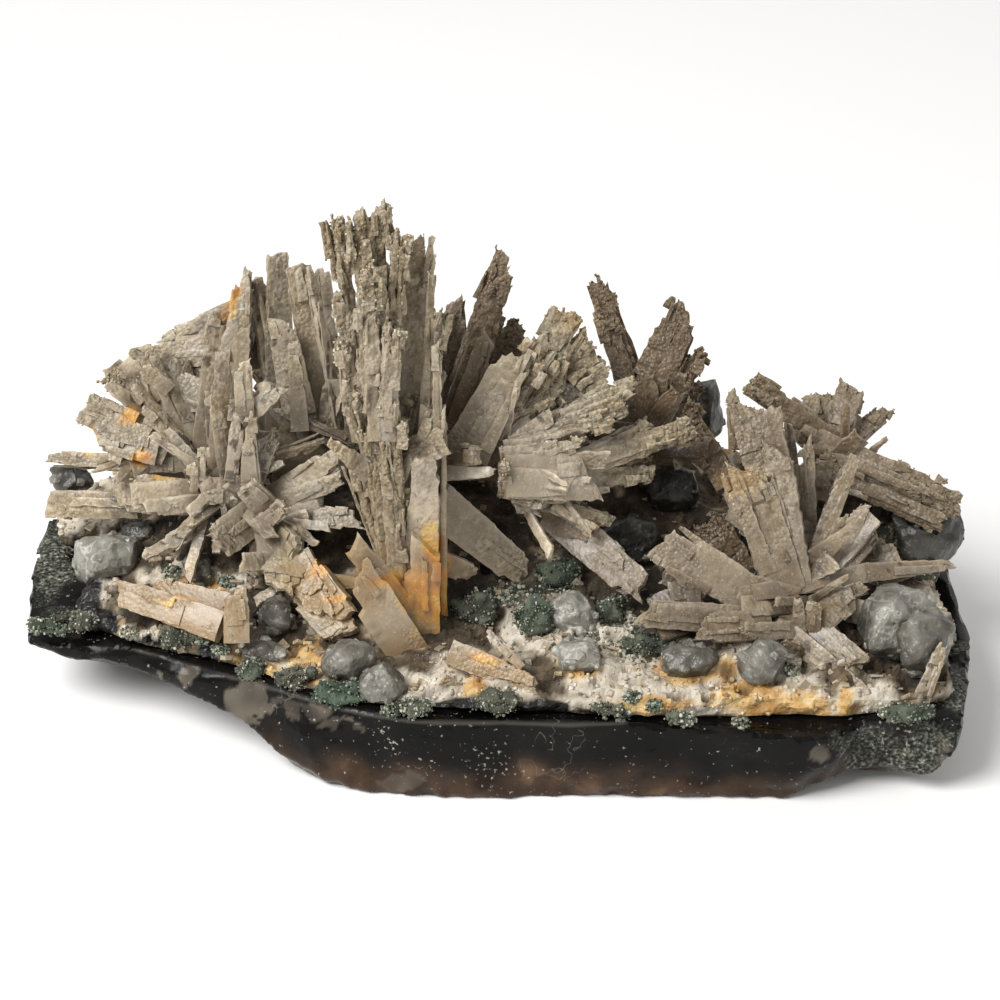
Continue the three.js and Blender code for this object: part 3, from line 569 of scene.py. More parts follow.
# A blade is root [u, v, depth], tip [u, v, depth], width at the root and at the tip, thickness,
# and its roll in degrees about its length, all in mm on the drawing plane. A last value says how
# crusted that blade is, where it isn't as the rest of its spray.
BLADES = {}
BLADES["rosette_left"] = [
    (-56, -5, 54, -53, 12, 60, 18, 13, 14, 0, 0.1),
    (-56, 14, 54, -51, 43, 66, 7, 5, 3.5, 10),
    (-54, 10, 53, -50.3, 47, 67, 5, 2.6, 3, -8),
    (-58, 10, 55, -55.5, 38, 66, 8, 6, 2.5, 12),
    (-53.5, 8, 55, -48.4, 44.5, 70, 4, 3.4, 1.4, 65),
    (-56, 2, 48, -55.5, 30.5, 52, 6, 3.8, 4, -5),
    (-51, 18, 58, -75, 25.5, 64, 7, 9, 3.5, 0, 0.65),
    (-48, 30, 66, -74, 27, 68, 8, 11, 3, 8, 0.5),
    (-50, 38, 70, -68, 29.5, 70, 6, 8, 3, 8),
    (-62, 12, 56, -70, 29.5, 62, 5, 4.4, 3, 15),
    (-61, 12, 56, -66, 28.5, 64, 4.4, 3.6, 3, 25),
    (-60, 12, 57, -63.3, 27.5, 64, 4, 3, 3, 30),
    (-68, 20, 60, -79, 25, 60, 5, 5.5, 4, 0, 0.7),
    (-66, 22, 58, -71.5, 26.5, 58, 4, 3.4, 2.5, -20),
    (-66, 10, 52, -83.5, 18.6, 57, 8, 9, 7, 0, 0.75),
    (-68, 10, 51, -82.5, 13.6, 55, 8, 7, 6, 0, 0.7),
    (-62, 8, 52, -79, 8.5, 53, 5, 7.6, 4, -10, 0.6),
    (-62, 6, 55, -90.6, 8.6, 60, 4, 2.8, 5, 0),
    (-72, -1.2, 50, -91, -0.8, 57, 5.6, 6.6, 5, 0, 0.5),
    (-59, 6, 50, -73.4, 23.6, 58, 3, 2.6, 2.5, 35),
    (-60, 5, 49, -72, 19, 54, 2.6, 2, 2, 20),
    (-58, 1, 48, -78.6, 0.5, 50, 6.6, 6.6, 5, 0),
    (-56, -1, 46, -74, -1.8, 46, 4, 3.6, 4, 0),
    (-52, 1.6, 45, -60, 2, 42, 6, 6, 4, 0),
    (-54.5, 3, 44, -57.5, 20.8, 47, 3, 2.4, 2, 12),
    (-53.8, 4, 43, -52.4, 20.4, 46, 3, 2.2, 2.4, 0),
    (-49.8, 3, 41, -49.8, 18, 43, 4.4, 1.6, 2.4, -8),
    (-51, 17, 44, -51.2, 28.2, 46, 4, 3, 2.4, 6),
    (-52, 16, 45, -43.4, 23.4, 47, 5, 4.4, 2.2, -6),
    (-49, 3, 42, -44.4, 14.2, 46, 3.4, 3, 2, 20),
    (-61, 0, 43.4, -61.4, 7.4, 43, 2, 1.6, 2.4, 0),
    (-59.4, 4, 43, -59.4, 10.8, 45, 1.6, 1.4, 2, 0),
    (-46.6, -1.6, 40, -51, 3, 39, 6, 5, 3, -15),
    (-49, -6, 38, -42.6, -1, 36, 4, 3.4, 2.5, 0),
    (-49, -3, 41, -57, -9, 31, 8, 7.6, 3, -10),
    (-44, -5, 40, -43.6, -19, 25, 11, 7, 3.4, 0),
    (-45, -8, 38, -40.5, -12, 31, 9, 8, 4, 25),
    (-41, -12, 33, -34.4, -22, 23, 8, 7, 5, 10),
    (-37, -15, 30, -30, -23.5, 21, 6, 5.5, 5, 20),
    (-38, -20, 28, -30.5, -28, 19, 7, 8, 5, -8),
    (-57, -4, 43, -71.6, -11.2, 34, 4, 3.6, 3, 15),
    (-45, -2, 43, -26.5, -4.4, 40, 5, 4.4, 4, 0),
    (-46, 0, 45, -32, 9.4, 44, 5.6, 4.8, 3.4, -10),
    (-43, 0, 43, -31.5, 4.4, 42, 4, 4.2, 3, 10),
    (-52, 6, 47, -35.6, 11.8, 48, 2.6, 2, 2.4, 30),
]
BLADES["blade_column"] = [
    (-15.6, -33, 22, -15.4, -6, 24, 7, 7.6, 8, 0, 0.1),
    (-16, -20, 25, -15, 9, 27, 7, 6.2, 6, 0, 0.35),
    (-21, -20, 25, -28, 22.8, 31, 5, 5.4, 5, 15),
    (-20.5, -19, 24.4, -24, 21.5, 30, 5, 4.4, 5, 0),
    (-20, -18, 24, -21, 19, 29, 5, 3.8, 5, -10),
    (-20, -19, 25, -30, 9, 31, 5, 4, 4, 20),
    (-25, 2, 30, -32.9, 56.6, 42, 5.4, 5.6, 5, 8),
    (-24, 4, 29, -28, 58.4, 40, 5.4, 5.2, 5, 0),
    (-23, 4, 30, -23.8, 60.4, 42, 5.4, 5.6, 5, 0),
    (-22.4, 8, 29, -20.4, 53.6, 39, 5, 4, 5, -10),
    (-22.4, 12, 27, -21.4, 35, 31, 6, 4.6, 4, 0),
    (-24.4, 12, 27, -26.4, 47, 35, 6, 5, 4.4, 0),
    (-28, 12, 30, -31, 32, 34, 5, 4.6, 4, 10),
    (-19, 12, 34, -16.4, 53.8, 45, 7.4, 5.4, 4, 0, 0.6),
    (-15, 12, 31, -13.6, 45.6, 38, 3.2, 1.6, 2.6, 0, 0.45),
    (-12.6, 14, 30, -12.6, 32, 33, 2.2, 1.8, 2.4, 0, 0.4),
    (-11.2, -29, 26, -11.4, 19, 31, 1.8, 1.4, 7, 0, 0.2),
    (-14, 4, 30, -13.6, 19.2, 32, 6.4, 5.4, 3, 0, 0.2),
    (-19, 12, 33, -17, 21.4, 36, 4, 3.2, 2.4, 0),
    (-19, -22, 22, -29.8, -8, 18, 5.6, 4.8, 4, 0, 0.1),
    (-14.2, -37, 17.5, -29.8, -13, 17, 8, 9, 4, 0, 0.1),
    (-16.4, -32, 22, -20.6, -16, 22.5, 7, 9, 4, 0, 0.1),
    (-12.8, -29, 20, -12.4, -40, 13, 4, 3.4, 3, 0, 0.1),
    (-13, 0, 33, 5.6, -15.6, 37, 9, 7, 5, 0, 0.25),
    (-15, -11, 30, -4.6, -15, 31, 5, 4, 3, 20, 0.25),
    (-20, 3, 32, -12, 38, 62, 8, 6, 4, -10),
    (-24, 3, 32, -30, 34, 64, 8, 6, 4, 15),
]
BLADES["blade_fan_middle"] = [
    (-7, 9, 38, 3.8, 30.6, 46, 10, 6.4, 4, 0, 0.3),
    (-1, 13, 42, 14.6, 37.6, 58, 10, 7.4, 4.4, 0),
    (0, 12, 43, 20, 29, 57, 8, 8, 4, 0),
    (0, 13, 42, 12, 29.6, 50, 7, 6, 4, -10),
    (0, 12, 41, 14.4, 25.6, 50, 6, 5, 4, 0),
    (-1, 12, 40, 10, 21.6, 46, 5, 5, 4, 10),
    (0, 11, 40, 27.6, 23.8, 50, 5, 3.8, 3.6, 0),
    (2, 11, 38, 25.4, 18.6, 46, 4.4, 2.6, 3, 0),
    (1, 10, 37, 22.6, 16, 43, 5, 3.2, 3, 0),
    (0, 9, 35, 17.6, 11.6, 38, 4, 2.8, 3, 0),
    (1, 4.6, 32, 20.8, 4.8, 36, 9, 10.6, 4, 0, 0.4),
    (4, 0.6, 33, 22.6, -4.6, 37, 4, 4.6, 3, 0),
    (-11, 5.4, 33, -0.8, 5.6, 32, 3.4, 2, 3, 0, 0.2),
    (-10, 9, 36, -4, 8.8, 32, 5, 4, 4, 0, 0.3),
    (0.8, 1.6, 32, 0.8, 7.8, 31, 3, 3, 3, 0),
    (0, 2, 36, 9.2, -0.6, 31, 4, 3, 3.4, 0),
    (10, 5, 38, 39, 14.6, 50, 7, 6, 4, 0),
    (16, 8, 41, 30, 15.8, 50, 5, 4.4, 3, 0),
    (9, 3, 37, 31, 5.6, 46, 5.4, 5, 4, 0),
    (-2, 13, 40, 9, 31, 48, 7, 6.4, 3.4, -12),
    (1, 13, 43, 17.6, 33.6, 57, 7, 6.6, 3.4, 14),
    (2, 12, 42, 22, 26.6, 52, 6, 6, 3.4, -8),
    (4, 11, 41, 25, 21, 49, 5, 4, 3, 12),
]
BLADES["blade_plate_low"] = [
    (11, -2.6, 40, 29.4, -19, 23, 8.4, 7, 4, 0),
    (9, -3, 39, 20, -8.6, 33, 6, 5, 3.4, 10),
]
BLADES["blades_back_left"] = [
    (-38, 4, 56, -38, 20, 60, 16, 12, 10, 0),
    (-44, 14, 58, -44.6, 49.6, 71, 7, 5.4, 3.5, 20),
    (-43, 12, 58, -49, 44.5, 69, 5, 5, 3, 35),
    (-33, 12, 54, -40.6, 47.6, 65, 8.4, 4.6, 4, 12),
    (-32, 14, 52, -38.3, 47, 60, 3, 2.2, 2.4, 45),
    (-31.5, 16, 56, -36.5, 46.4, 66, 5, 3, 3, 20),
    (-39, 13, 54, -44.4, 37, 58, 8, 5, 3, -12),
    (-40, 14, 50, -41.2, 31.4, 51, 4, 3, 3, 0),
    (-30, 12, 50, -45, 17.8, 52, 2.6, 2, 2, 20),
]
BLADES["blades_back_middle"] = [
    (-6, 4, 50, -6, 17, 56, 17, 13, 14, 0),
    (-11.6, 15, 50, 0.2, 50.2, 66, 4, 3.4, 3, 0),
    (-9.6, 16, 50, 1, 45.6, 60, 6, 5.2, 3.6, 15),
    (-10, 12, 52, -9, 41.4, 64, 6, 4.4, 4, 0, 0.4),
    (-9.6, 12, 46, -1.6, 34.4, 52, 5.4, 4.4, 4, 0, 0.15),
    (-6, 16, 56, 3.6, 35.4, 66, 9, 7, 4, 0),
]
BLADES["blades_back_right"] = [
    (29, 2, 60, 30, 14, 62, 15, 12, 10, 0),
    (30, 14, 61, 19.2, 45.4, 72, 7, 2.8, 3.4, 0),
    (28, 16, 60, 20.2, 38.6, 68, 6.4, 4.6, 3, 10),
    (24, 9, 56, 38, 39.6, 70, 11, 7.6, 5, 0),
    (30, 13, 56, 40.6, 30.4, 66, 6.4, 4.6, 4, -10),
    (45.4, 3, 52, 36, 19.6, 59, 7, 7, 4, 0),
]
BLADES["blade_spray_right"] = [
    (60, -21, 31, 60, -7, 38, 15, 12, 9, 0),
    (57.4, -18.4, 25, 48, 8.4, 35, 8, 10.4, 4, 0, 0.6),
    (60, -17.6, 26, 54.8, 12, 37, 5.4, 6.4, 4.6, -10, 0.6),
    (55, 0, 36, 49, 21, 47, 9, 8.6, 4, 0, 0.6),
    (57, -3, 34, 54.3, 19, 41, 5, 4.4, 3.6, -8),
    (47, 10, 42, 46.2, 22.4, 49, 3, 2.4, 2, 30),
    (62, -8, 36, 61.2, 13, 43, 3.2, 3.2, 3, 0),
    (59.4, -4, 38, 57.8, 15.8, 45, 3, 2.2, 2.4, 0),
    (62.6, -12, 30, 71, 9.2, 40, 3.8, 3.4, 3, 0),
    (65, -16, 28, 68.8, -2.8, 34, 4.4, 4, 3, 10),
    (66.4, -15.6, 28, 73.2, -1, 35, 4.4, 3.4, 3, 0),
    (68, -15, 28, 75.4, -5.4, 34, 4.4, 3.6, 3, -10),
    (64, -16, 26, 65.6, -7, 29, 2.2, 1.8, 2, 0),
    (79, -16.6, 30.5, 75.2, -7.2, 37, 7, 2.6, 3.4, 0),
    (50.4, -18.6, 24, 76, -14, 29, 3.6, 4.8, 4, 0, 0.1),
    (73, -14.6, 28, 91, -12.8, 32, 4.2, 2.4, 3, 0, 0.1),
    (53, -21, 25, 31.4, -7.4, 31, 8, 10, 4.4, 0, 0.45),
    (49, -24, 21, 26.6, -22.4, 18, 6, 6, 4, 0),
    (54, -25, 20, 38.4, -25.6, 15, 6, 6.6, 4, 10),
    (59, -26, 18, 47.4, -26.4, 14, 4, 3.2, 4, 0),
    (61.4, -25, 20, 72.6, -33.8, 10, 6.4, 6.4, 3.4, 0),
    (57.6, -26.4, 18, 71.6, -38.2, 8, 5, 4.4, 3.4, 10),
    (60, -27, 18, 59.6, -19.6, 18, 3, 2.2, 2.4, 0),
    (62.4, -26, 18, 63.2, -20.2, 18, 3.4, 3, 3, 0),
    (64.4, -25, 19, 69.2, -20.2, 18, 4.4, 4.2, 3, 0),
    (63, -22, 24, 73.4, -16.8, 24, 4, 3, 3, 0),
]
BLADES["blades_far_right"] = [
    (63, 12, 54, 91, 0.4, 45, 6, 5, 6, 0),
    (66, 9, 52, 92, -2, 44, 6, 4, 4, 15),
    (68, 5, 51, 89, -5, 44, 6, 5.6, 4, 0),
    (70, 9, 55, 49.6, 23.6, 54, 6, 5.4, 4, 0),
    (64, 0, 47, 67, 10.4, 51, 8, 7, 3, 0),
]
BLADES["blade_dark_low"] = [(48.4, -15.6, 39, 41, -3.8, 45, 8, 8.6, 4, 0)]
BLADES["blade_front_peach"] = [
    (-55.6, -25.4, 21, -77, -18, 31, 6.4, 6, 6, 0),
    (-54, -21, 27, -70, -17, 34, 5, 4, 4, 0),
]
BLADES["blade_front_block"] = [(-52.6, -28.4, 17, -52.8, -17.4, 21, 5.2, 5, 5, 0)]
BLADES["blade_front_orange"] = [(-10, -30.4, 13.5, 8.6, -37.8, 6.5, 5.4, 4.4, 4, 0)]
BLADES["blade_front_white"] = [(4.4, -33.6, 10, -2.4, -26.4, 15, 2, 1.8, 1.8, 0)]
BLADES["blade_right_slim"] = [(84.2, -40, 5, 88.6, -28.6, 10, 3.6, 2.4, 2.4, 0)]

# Blades behind each spray: centre, how many, the bearings they spread between, and their reach.
REAR_FANS = {
    "rosette_left": ((-56, 60, 34), 7, 25, 175, 24),
    "blades_back_left": ((-37, 60, 42), 5, 40, 140, 22),
    "blades_back_middle": ((-5, 57, 42), 6, 25, 155, 25),
    "blades_back_right": ((30, 66, 34), 5, 30, 165, 22),
    "blade_spray_right": ((58, 40, 30), 4, 60, 160, 18),
    "blades_far_right": ((66, 55, 42), 4, 20, 130, 17),
}
# Small plates crowded round the foot of a spray: its middle [u, v, depth], how many, the bearings
# they point to in degrees round the sight line, and their shortest and longest length.
FOOT_PLATES = {
    "rosette_left": [
        ((-57, 2, 43), 22, 165, 385, 5, 12),
        ((-57, 5, 45), 9, 10, 170, 5, 12),
        ((-47, -4, 39), 12, 230, 400, 4, 9),
        ((-68, 14, 54), 12, 60, 260, 5, 10),
        ((-40, -14, 30), 7, 200, 380, 4, 8),
    ],
    "blade_column": [((-22, 6, 27), 8, 30, 150, 6, 12)],
    "blade_fan_middle": [((0, 8, 36), 8, -40, 70, 6, 14), ((6, 3, 34), 6, -70, 20, 5, 10)],
    "blades_back_left": [((-37, 12, 50), 8, 20, 160, 6, 13)],
    "blades_back_middle": [((-7, 12, 46), 7, 10, 130, 6, 12)],
    "blades_back_right": [((30, 10, 52), 7, 0, 150, 6, 12)],
    "blade_spray_right": [
        ((62, -21, 22), 16, 140, 390, 4, 9),
        ((61, -17, 26), 9, 10, 165, 5, 12),
        ((40, -21, 22), 7, 120, 260, 4, 8),
    ],
    "blades_far_right": [((66, 4, 49), 5, -20, 120, 6, 12)],
}
# How brown a spray is stands partly for painted shade, on the blades at the back and low down.
SPRAY_LOOKS = {  # strips on each blade, how crusted it is, how brown, and the crystal grains on it
    "rosette_left": (2.4, 0.35, 0.08, 3000),
    "blade_column": (1.6, 0.95, 0.12, 2600),
    "blade_fan_middle": (2.0, 0.8, 0.1, 2600),
    "blade_plate_low": (2, 0.4, 0.55, 700),
    "blades_back_left": (2.2, 0.35, 0.1, 1200),
    "blades_back_middle": (3, 0.7, 0.6, 1200),
    "blades_back_right": (3, 0.85, 0.7, 1800),
    "blade_spray_right": (2, 0.4, 0.3, 2200),
    "blades_far_right": (3, 0.7, 0.5, 1200),
    "blade_dark_low": (3, 0.6, 0.8, 300),
    "blade_front_peach": (2, 0.15, 0.8, 400),
    "blade_front_block": (2, 0.2, 0.3, 250),
    "blade_front_orange": (2.4, 0.3, 0.25, 350),
    "blade_front_white": (1, 0.3, 0.0, 80),
    "blade_right_slim": (2, 0.3, 0.1, 120),
}
BLADE_STAINS = [(-21.8, -16.2, 5.4, 2), (-17, -20, 3.4, 4), (-13.6, -9.4, 2.4, 4)]
BLADE_STAINS += [(-12, -20, 1.4, 13), (-74, 16.4, 2, 2), (-83, 11.6, 2.4, 3), (-71.6, 8.4, 2, 2)]
BLADE_STAINS += [(-12.6, -36.4, 2.4, 3.6), (-2, -31, 4, 1.6), (-36, -13.6, 2, 2.4)]
BLADE_STAINS += [(-33, -19, 3, 0.9), (-64, -19.6, 4, 0.6), (-54, 40, 2, 4), (-16, -19, 4, 6)]
PEACH_SPOTS = [(-66, -22, 17, 10), (-14, -18, 5, 14), (-30, -17, 9, 9), (-17, -33, 9, 8)]
PEACH_SPOTS += [(0, -34, 10, 5), (-52.6, -23, 3, 6), (-37, -17, 6, 6), (48, 4, 4, 3), (16, 36, 4, 3)]
PALE_SPOTS = [(-79, 17, 9, 7), (-57, 4, 12, 8), (12, 5, 12, 7), (-28, 30, 8, 14)]
PALE_SPOTS += [(-88, 4, 8, 3), (-22, -25, 8, 10)]


def lath_blank(name, along, across):
    """A unit block cut into so many parts along and across, to be drawn out into a lath."""
    bpy.ops.mesh.primitive_cube_add(size=1)
    blank = bpy.context.object
    blank.name = name
    bpy.context.tool_settings.mesh_select_mode = (False, True, False)
    for axis, parts in ((2, along), (0, across)):
        corners = blank.data.vertices
        for corner in corners:
            corner.select = False
        for face in blank.data.polygons:
            face.select = False
        for edge in blank.data.edges:
            span = corners[edge.vertices[0]].co - corners[edge.vertices[1]].co
            edge.select = span.length - abs(span[axis]) < 1e-6
        bpy.ops.object.mode_set(mode="EDIT")
        bpy.ops.mesh.subdivide(number_cuts=parts - 1)
        bpy.ops.object.mode_set(mode="OBJECT")
    return blank


def at(u, v, y):
    """The point seen at (u, v) that lies at depth y of the drawing."""
    line = PLANE_POINT + v * PLANE_UP + np.array((u, 0.0, 0.0)) - EYE
    return EYE + line * ((y - DRAWN_MIDDLE[1] - EYE[1]) / line[1])


def turned(vector, axis, angle):
    """A vector turned about an axis by an angle in radians."""
    side = np.cross(axis, vector)
    along = axis * (axis @ vector)
    return vector * math.cos(angle) + side * math.sin(angle) + along * (1 - math.cos(angle))


def unit(vector):
    return vector / np.linalg.norm(vector)


def blade(root, tip, root_width, tip_width, thickness, facing, roll):
    """A blade as its root, its three directions and its sizes in mm; span is the part drawn."""
    along = unit(tip - root)
    across = turned(unit(np.cross(along, facing)), along, math.radians(roll))
    return {
        "root": root,
        "along": along,
        "across": across,
        "normal": np.cross(across, along),
        "length": np.linalg.norm(tip - root),
        "widths": (root_width, tip_width),
        "thickness": thickness,
        "span": (0.0, 1.0),
    }


def drawn_blade(row):
    """The blade of one row of BLADES, its broad side to the eye before it is rolled."""
    root = at(*row[0:3])
    return blade(root, at(*row[3:6]), row[6], row[7], row[8], EYE - root, row[9])


def rear_blades(centre, count, start, end, reach):
    """Guessed blades that rise behind a spray and fan out from the centre."""
    root = np.array(centre, float) - DRAWN_MIDDLE
    up = np.array((0.0, 0.0, 1.0))
    found = []
    for i in range(count):
        seed = 10 * (centre[0] + centre[1]) + i
        bearing = math.radians(start + (end - start) * (i + 0.5) / count)
        rise = math.radians(12 + 38 * hashed(seed))
        length = reach * (0.75 + 0.35 * hashed(seed + 0.3))
        level = length * math.cos(rise)
        height = length * math.sin(rise)
        step = np.array((level * math.cos(bearing), level * math.sin(bearing), height))
        width = 4.5 + 4 * hashed(seed + 0.6)
        roll = 30 * (hashed(seed + 0.8) - 0.5)
        found.append(blade(root, root + step, width, width * 1.1, 3.4, up, roll))
    return found


def foot_plates(middle, count, start, end, shortest, longest):
    """Small plates that stand out from the foot of a spray, turned every way but the blades' own."""
    centre = at(*middle)
    found = []
    for i in range(count):
        key = 3.3 * middle[0] + 7.1 * middle[1] + 1.7 * i
        share = (i + 3 * hashed(key) - 1) / count
        bearing = math.radians(start + (end - start) * share + 50 * (hashed(key + 0.05) - 0.5))
        rim = np.array((math.cos(bearing), 0.0, 0.0)) + math.sin(bearing) * PLANE_UP
        way = unit(rim + (0.8 * hashed(key + 0.1) - 0.1) * TO_EYE)
        length = shortest + (longest - shortest) * hashed(key + 0.2)
        beside = np.array((-math.sin(bearing), 0.0, 0.0)) + math.cos(bearing) * PLANE_UP
        root = centre + (7 * hashed(key + 0.3) - 1) * rim + 6 * (hashed(key + 0.8) - 0.5) * beside
        root = root - (1.0 + 2.0 * hashed(key + 0.9)) * TO_EYE
        width = 1.8 + 4.6 * hashed(key + 0.4) ** 1.3
        thickness = 0.5 + 0.6 * hashed(key + 0.5)
        roll = 75 * (hashed(key + 0.6) - 0.5)
        widths = (width * 0.9, width * (0.35 + 0.9 * hashed(key + 0.7)))
        found.append(blade(root, root + way * (length + 2), *widths, thickness, TO_EYE, roll))
    return found


def strip_of(bar, strip):
    """A narrower bar that lies along a blade.

    strip gives its middle across the blade in halves of its width, its height off the blade's
    middle plane in mm, its start and end along the blade, its width and thickness in mm, and the
    degrees by which it strays sideways and outwards.
    """
    middle, layer, start, end, width, thickness, yaw, pitch = strip
    blade_width = bar["widths"][0] + (bar["widths"][1] - bar["widths"][0]) * start
    sideways, outwards = math.tan(math.radians(yaw)), math.tan(math.radians(pitch))
    along = unit(bar["along"] + sideways * bar["across"] + outwards * bar["normal"])
    across = unit(bar["across"] - (bar["across"] @ along) * along)
    root = bar["root"] + start * bar["length"] * bar["along"]
    root = root + middle * blade_width / 2 * bar["across"] + layer * bar["normal"]
    return {
        "root": root,
        "along": along,
        "across": across,
        "normal": np.cross(across, along),
        "length": (end - start) * bar["length"],
        "widths": (width, width * (0.6 + 0.5 * hashed(40 * middle + 60 * start))),
        "thickness": thickness,
        "span": (start, end),
    }


def slant_of(seed, length):
    """How far the end of a blade runs on for each mm across it: short plates end squarer."""
    return (hashed(seed + 0.17) - 0.5) * 1.7 * min(1.0, length / 18)


def end_at(bar, seed, middle):
    """How far along a blade its slanting end lies, at a place across it from -1 to 1."""
    slant = slant_of(seed, bar["length"])
    cut = (slant * middle + abs(slant)) * max(bar["widths"]) / 2 + 0.8
    return 1 - min(cut / bar["length"], 0.4)


def draw_lath(blank, bar, ragged, crusted, tone, seed, laths):
    """A copy of the blank drawn out along a bar, with torn edges and a broken, stepped end."""
    mesh = blank.data.copy()
    flat = np.empty(len(mesh.vertices) * 3)
    mesh.vertices.foreach_get("co", flat)
    local = flat.reshape(-1, 3)
    a, b, t = 2 * local[:, 0], 2 * local[:, 1], local[:, 2] + 0.5
    length = bar["length"]
    width = bar["widths"][0] + (bar["widths"][1] - bar["widths"][0]) * t
    across = a * width / 2
    step = 0.8 + 1.5 * hashed(seed + 0.21)
    torn = 0.75 * hashed(np.floor((across + 40) / step + hashed(seed)) * 3.1 + seed)
    torn += 0.25 * hashed(np.floor((across + 40) / 0.55) * 1.3 + seed)
    slant = slant_of(seed, length)
    cut = ragged * torn + slant * across + abs(slant) * width / 2
    run = t * length + 0.5 * ragged * t - np.minimum(cut, 0.4 * length) * t**7
    tooth = hashed(np.floor(run / 1.2 + hashed(seed)) * 1.7 + seed + np.sign(a))
    wave = 0.015 * np.sin(run * (0.25 + 0.3 * hashed(seed + 0.6)) + 6 * hashed(seed))
    stopped = t > 0.62 + 0.3 * hashed(seed + 0.57 * np.sign(a))
    shoulder = 0.4 * hashed(seed + 0.33 * np.sign(a)) * stopped
    side = a * width / 2 * (1 + wave - shoulder * min(1.0, length / 14))
    side -= a**3 * tooth * (0.2 + 0.45 * crusted * t)
    rib = hashed(np.floor((across + 40) / 0.9 + hashed(seed + 0.3)) + seed) - 0.5
    s = bar["span"][0] + (bar["span"][1] - bar["span"][0]) * t
    knob, own = cells(np.stack([side / 1.5, run / 2.3, 0.4 * b], axis=1), 1.0, seed)
    shell = crusted * np.clip(0.15 + 1.1 * s, 0, 1) * min(1.0, bar["widths"][0] / 3)
    relief = shell * (0.95 * (0.6 - knob) + 0.8 * (own - 0.5))
    bevel = (1 - (0.08 + 0.37 * crusted) * np.abs(a) ** 4) * (1 - 0.35 * t**10)
    half = bar["thickness"] / 2 * bevel * (1 + (0.08 + 0.15 * crusted) * rib)
    deep = b * np.maximum(half + relief, 0.12)
    place = bar["root"] + run[:, None] * bar["along"]
    place = place + side[:, None] * bar["across"] + deep[:, None] * bar["normal"]
    mesh.vertices.foreach_set("co", (place * MM).ravel())
    piece = bpy.data.objects.new("lath", mesh)
    scene.collection.objects.link(piece)
    write_values(piece, "tone", np.full(len(t), tone))
    write_values(piece, "crusted", np.clip(crusted * (0.2 + 1.1 * s**1.6), 0, 1))
    # Darker low down and between the knobs: dirt, and painted shade where little light reaches.
    dirt_and_shade_low = np.maximum((1 - crusted / 2) * (1 - 1.6 * s), 5.0 * shell * (knob - 0.38))
    write_values(piece, "foot", np.clip(dirt_and_shade_low, 0, 1))
    # Paler at the side edges and the end: a painted highlight where they catch the light.
    write_values(piece, "rim", np.maximum(np.abs(a) ** 6, t**12) * (0.4 + 0.6 * hashed(seed + 0.47)))
    layer = mesh.attributes.new("lengthwise", "FLOAT_VECTOR", "POINT")
    lengthwise = np.stack([side + 40 * hashed(seed), run, deep], axis=1)
    layer.data.foreach_set("vector", lengthwise.astype(np.float32).ravel())
    laths.append(piece)


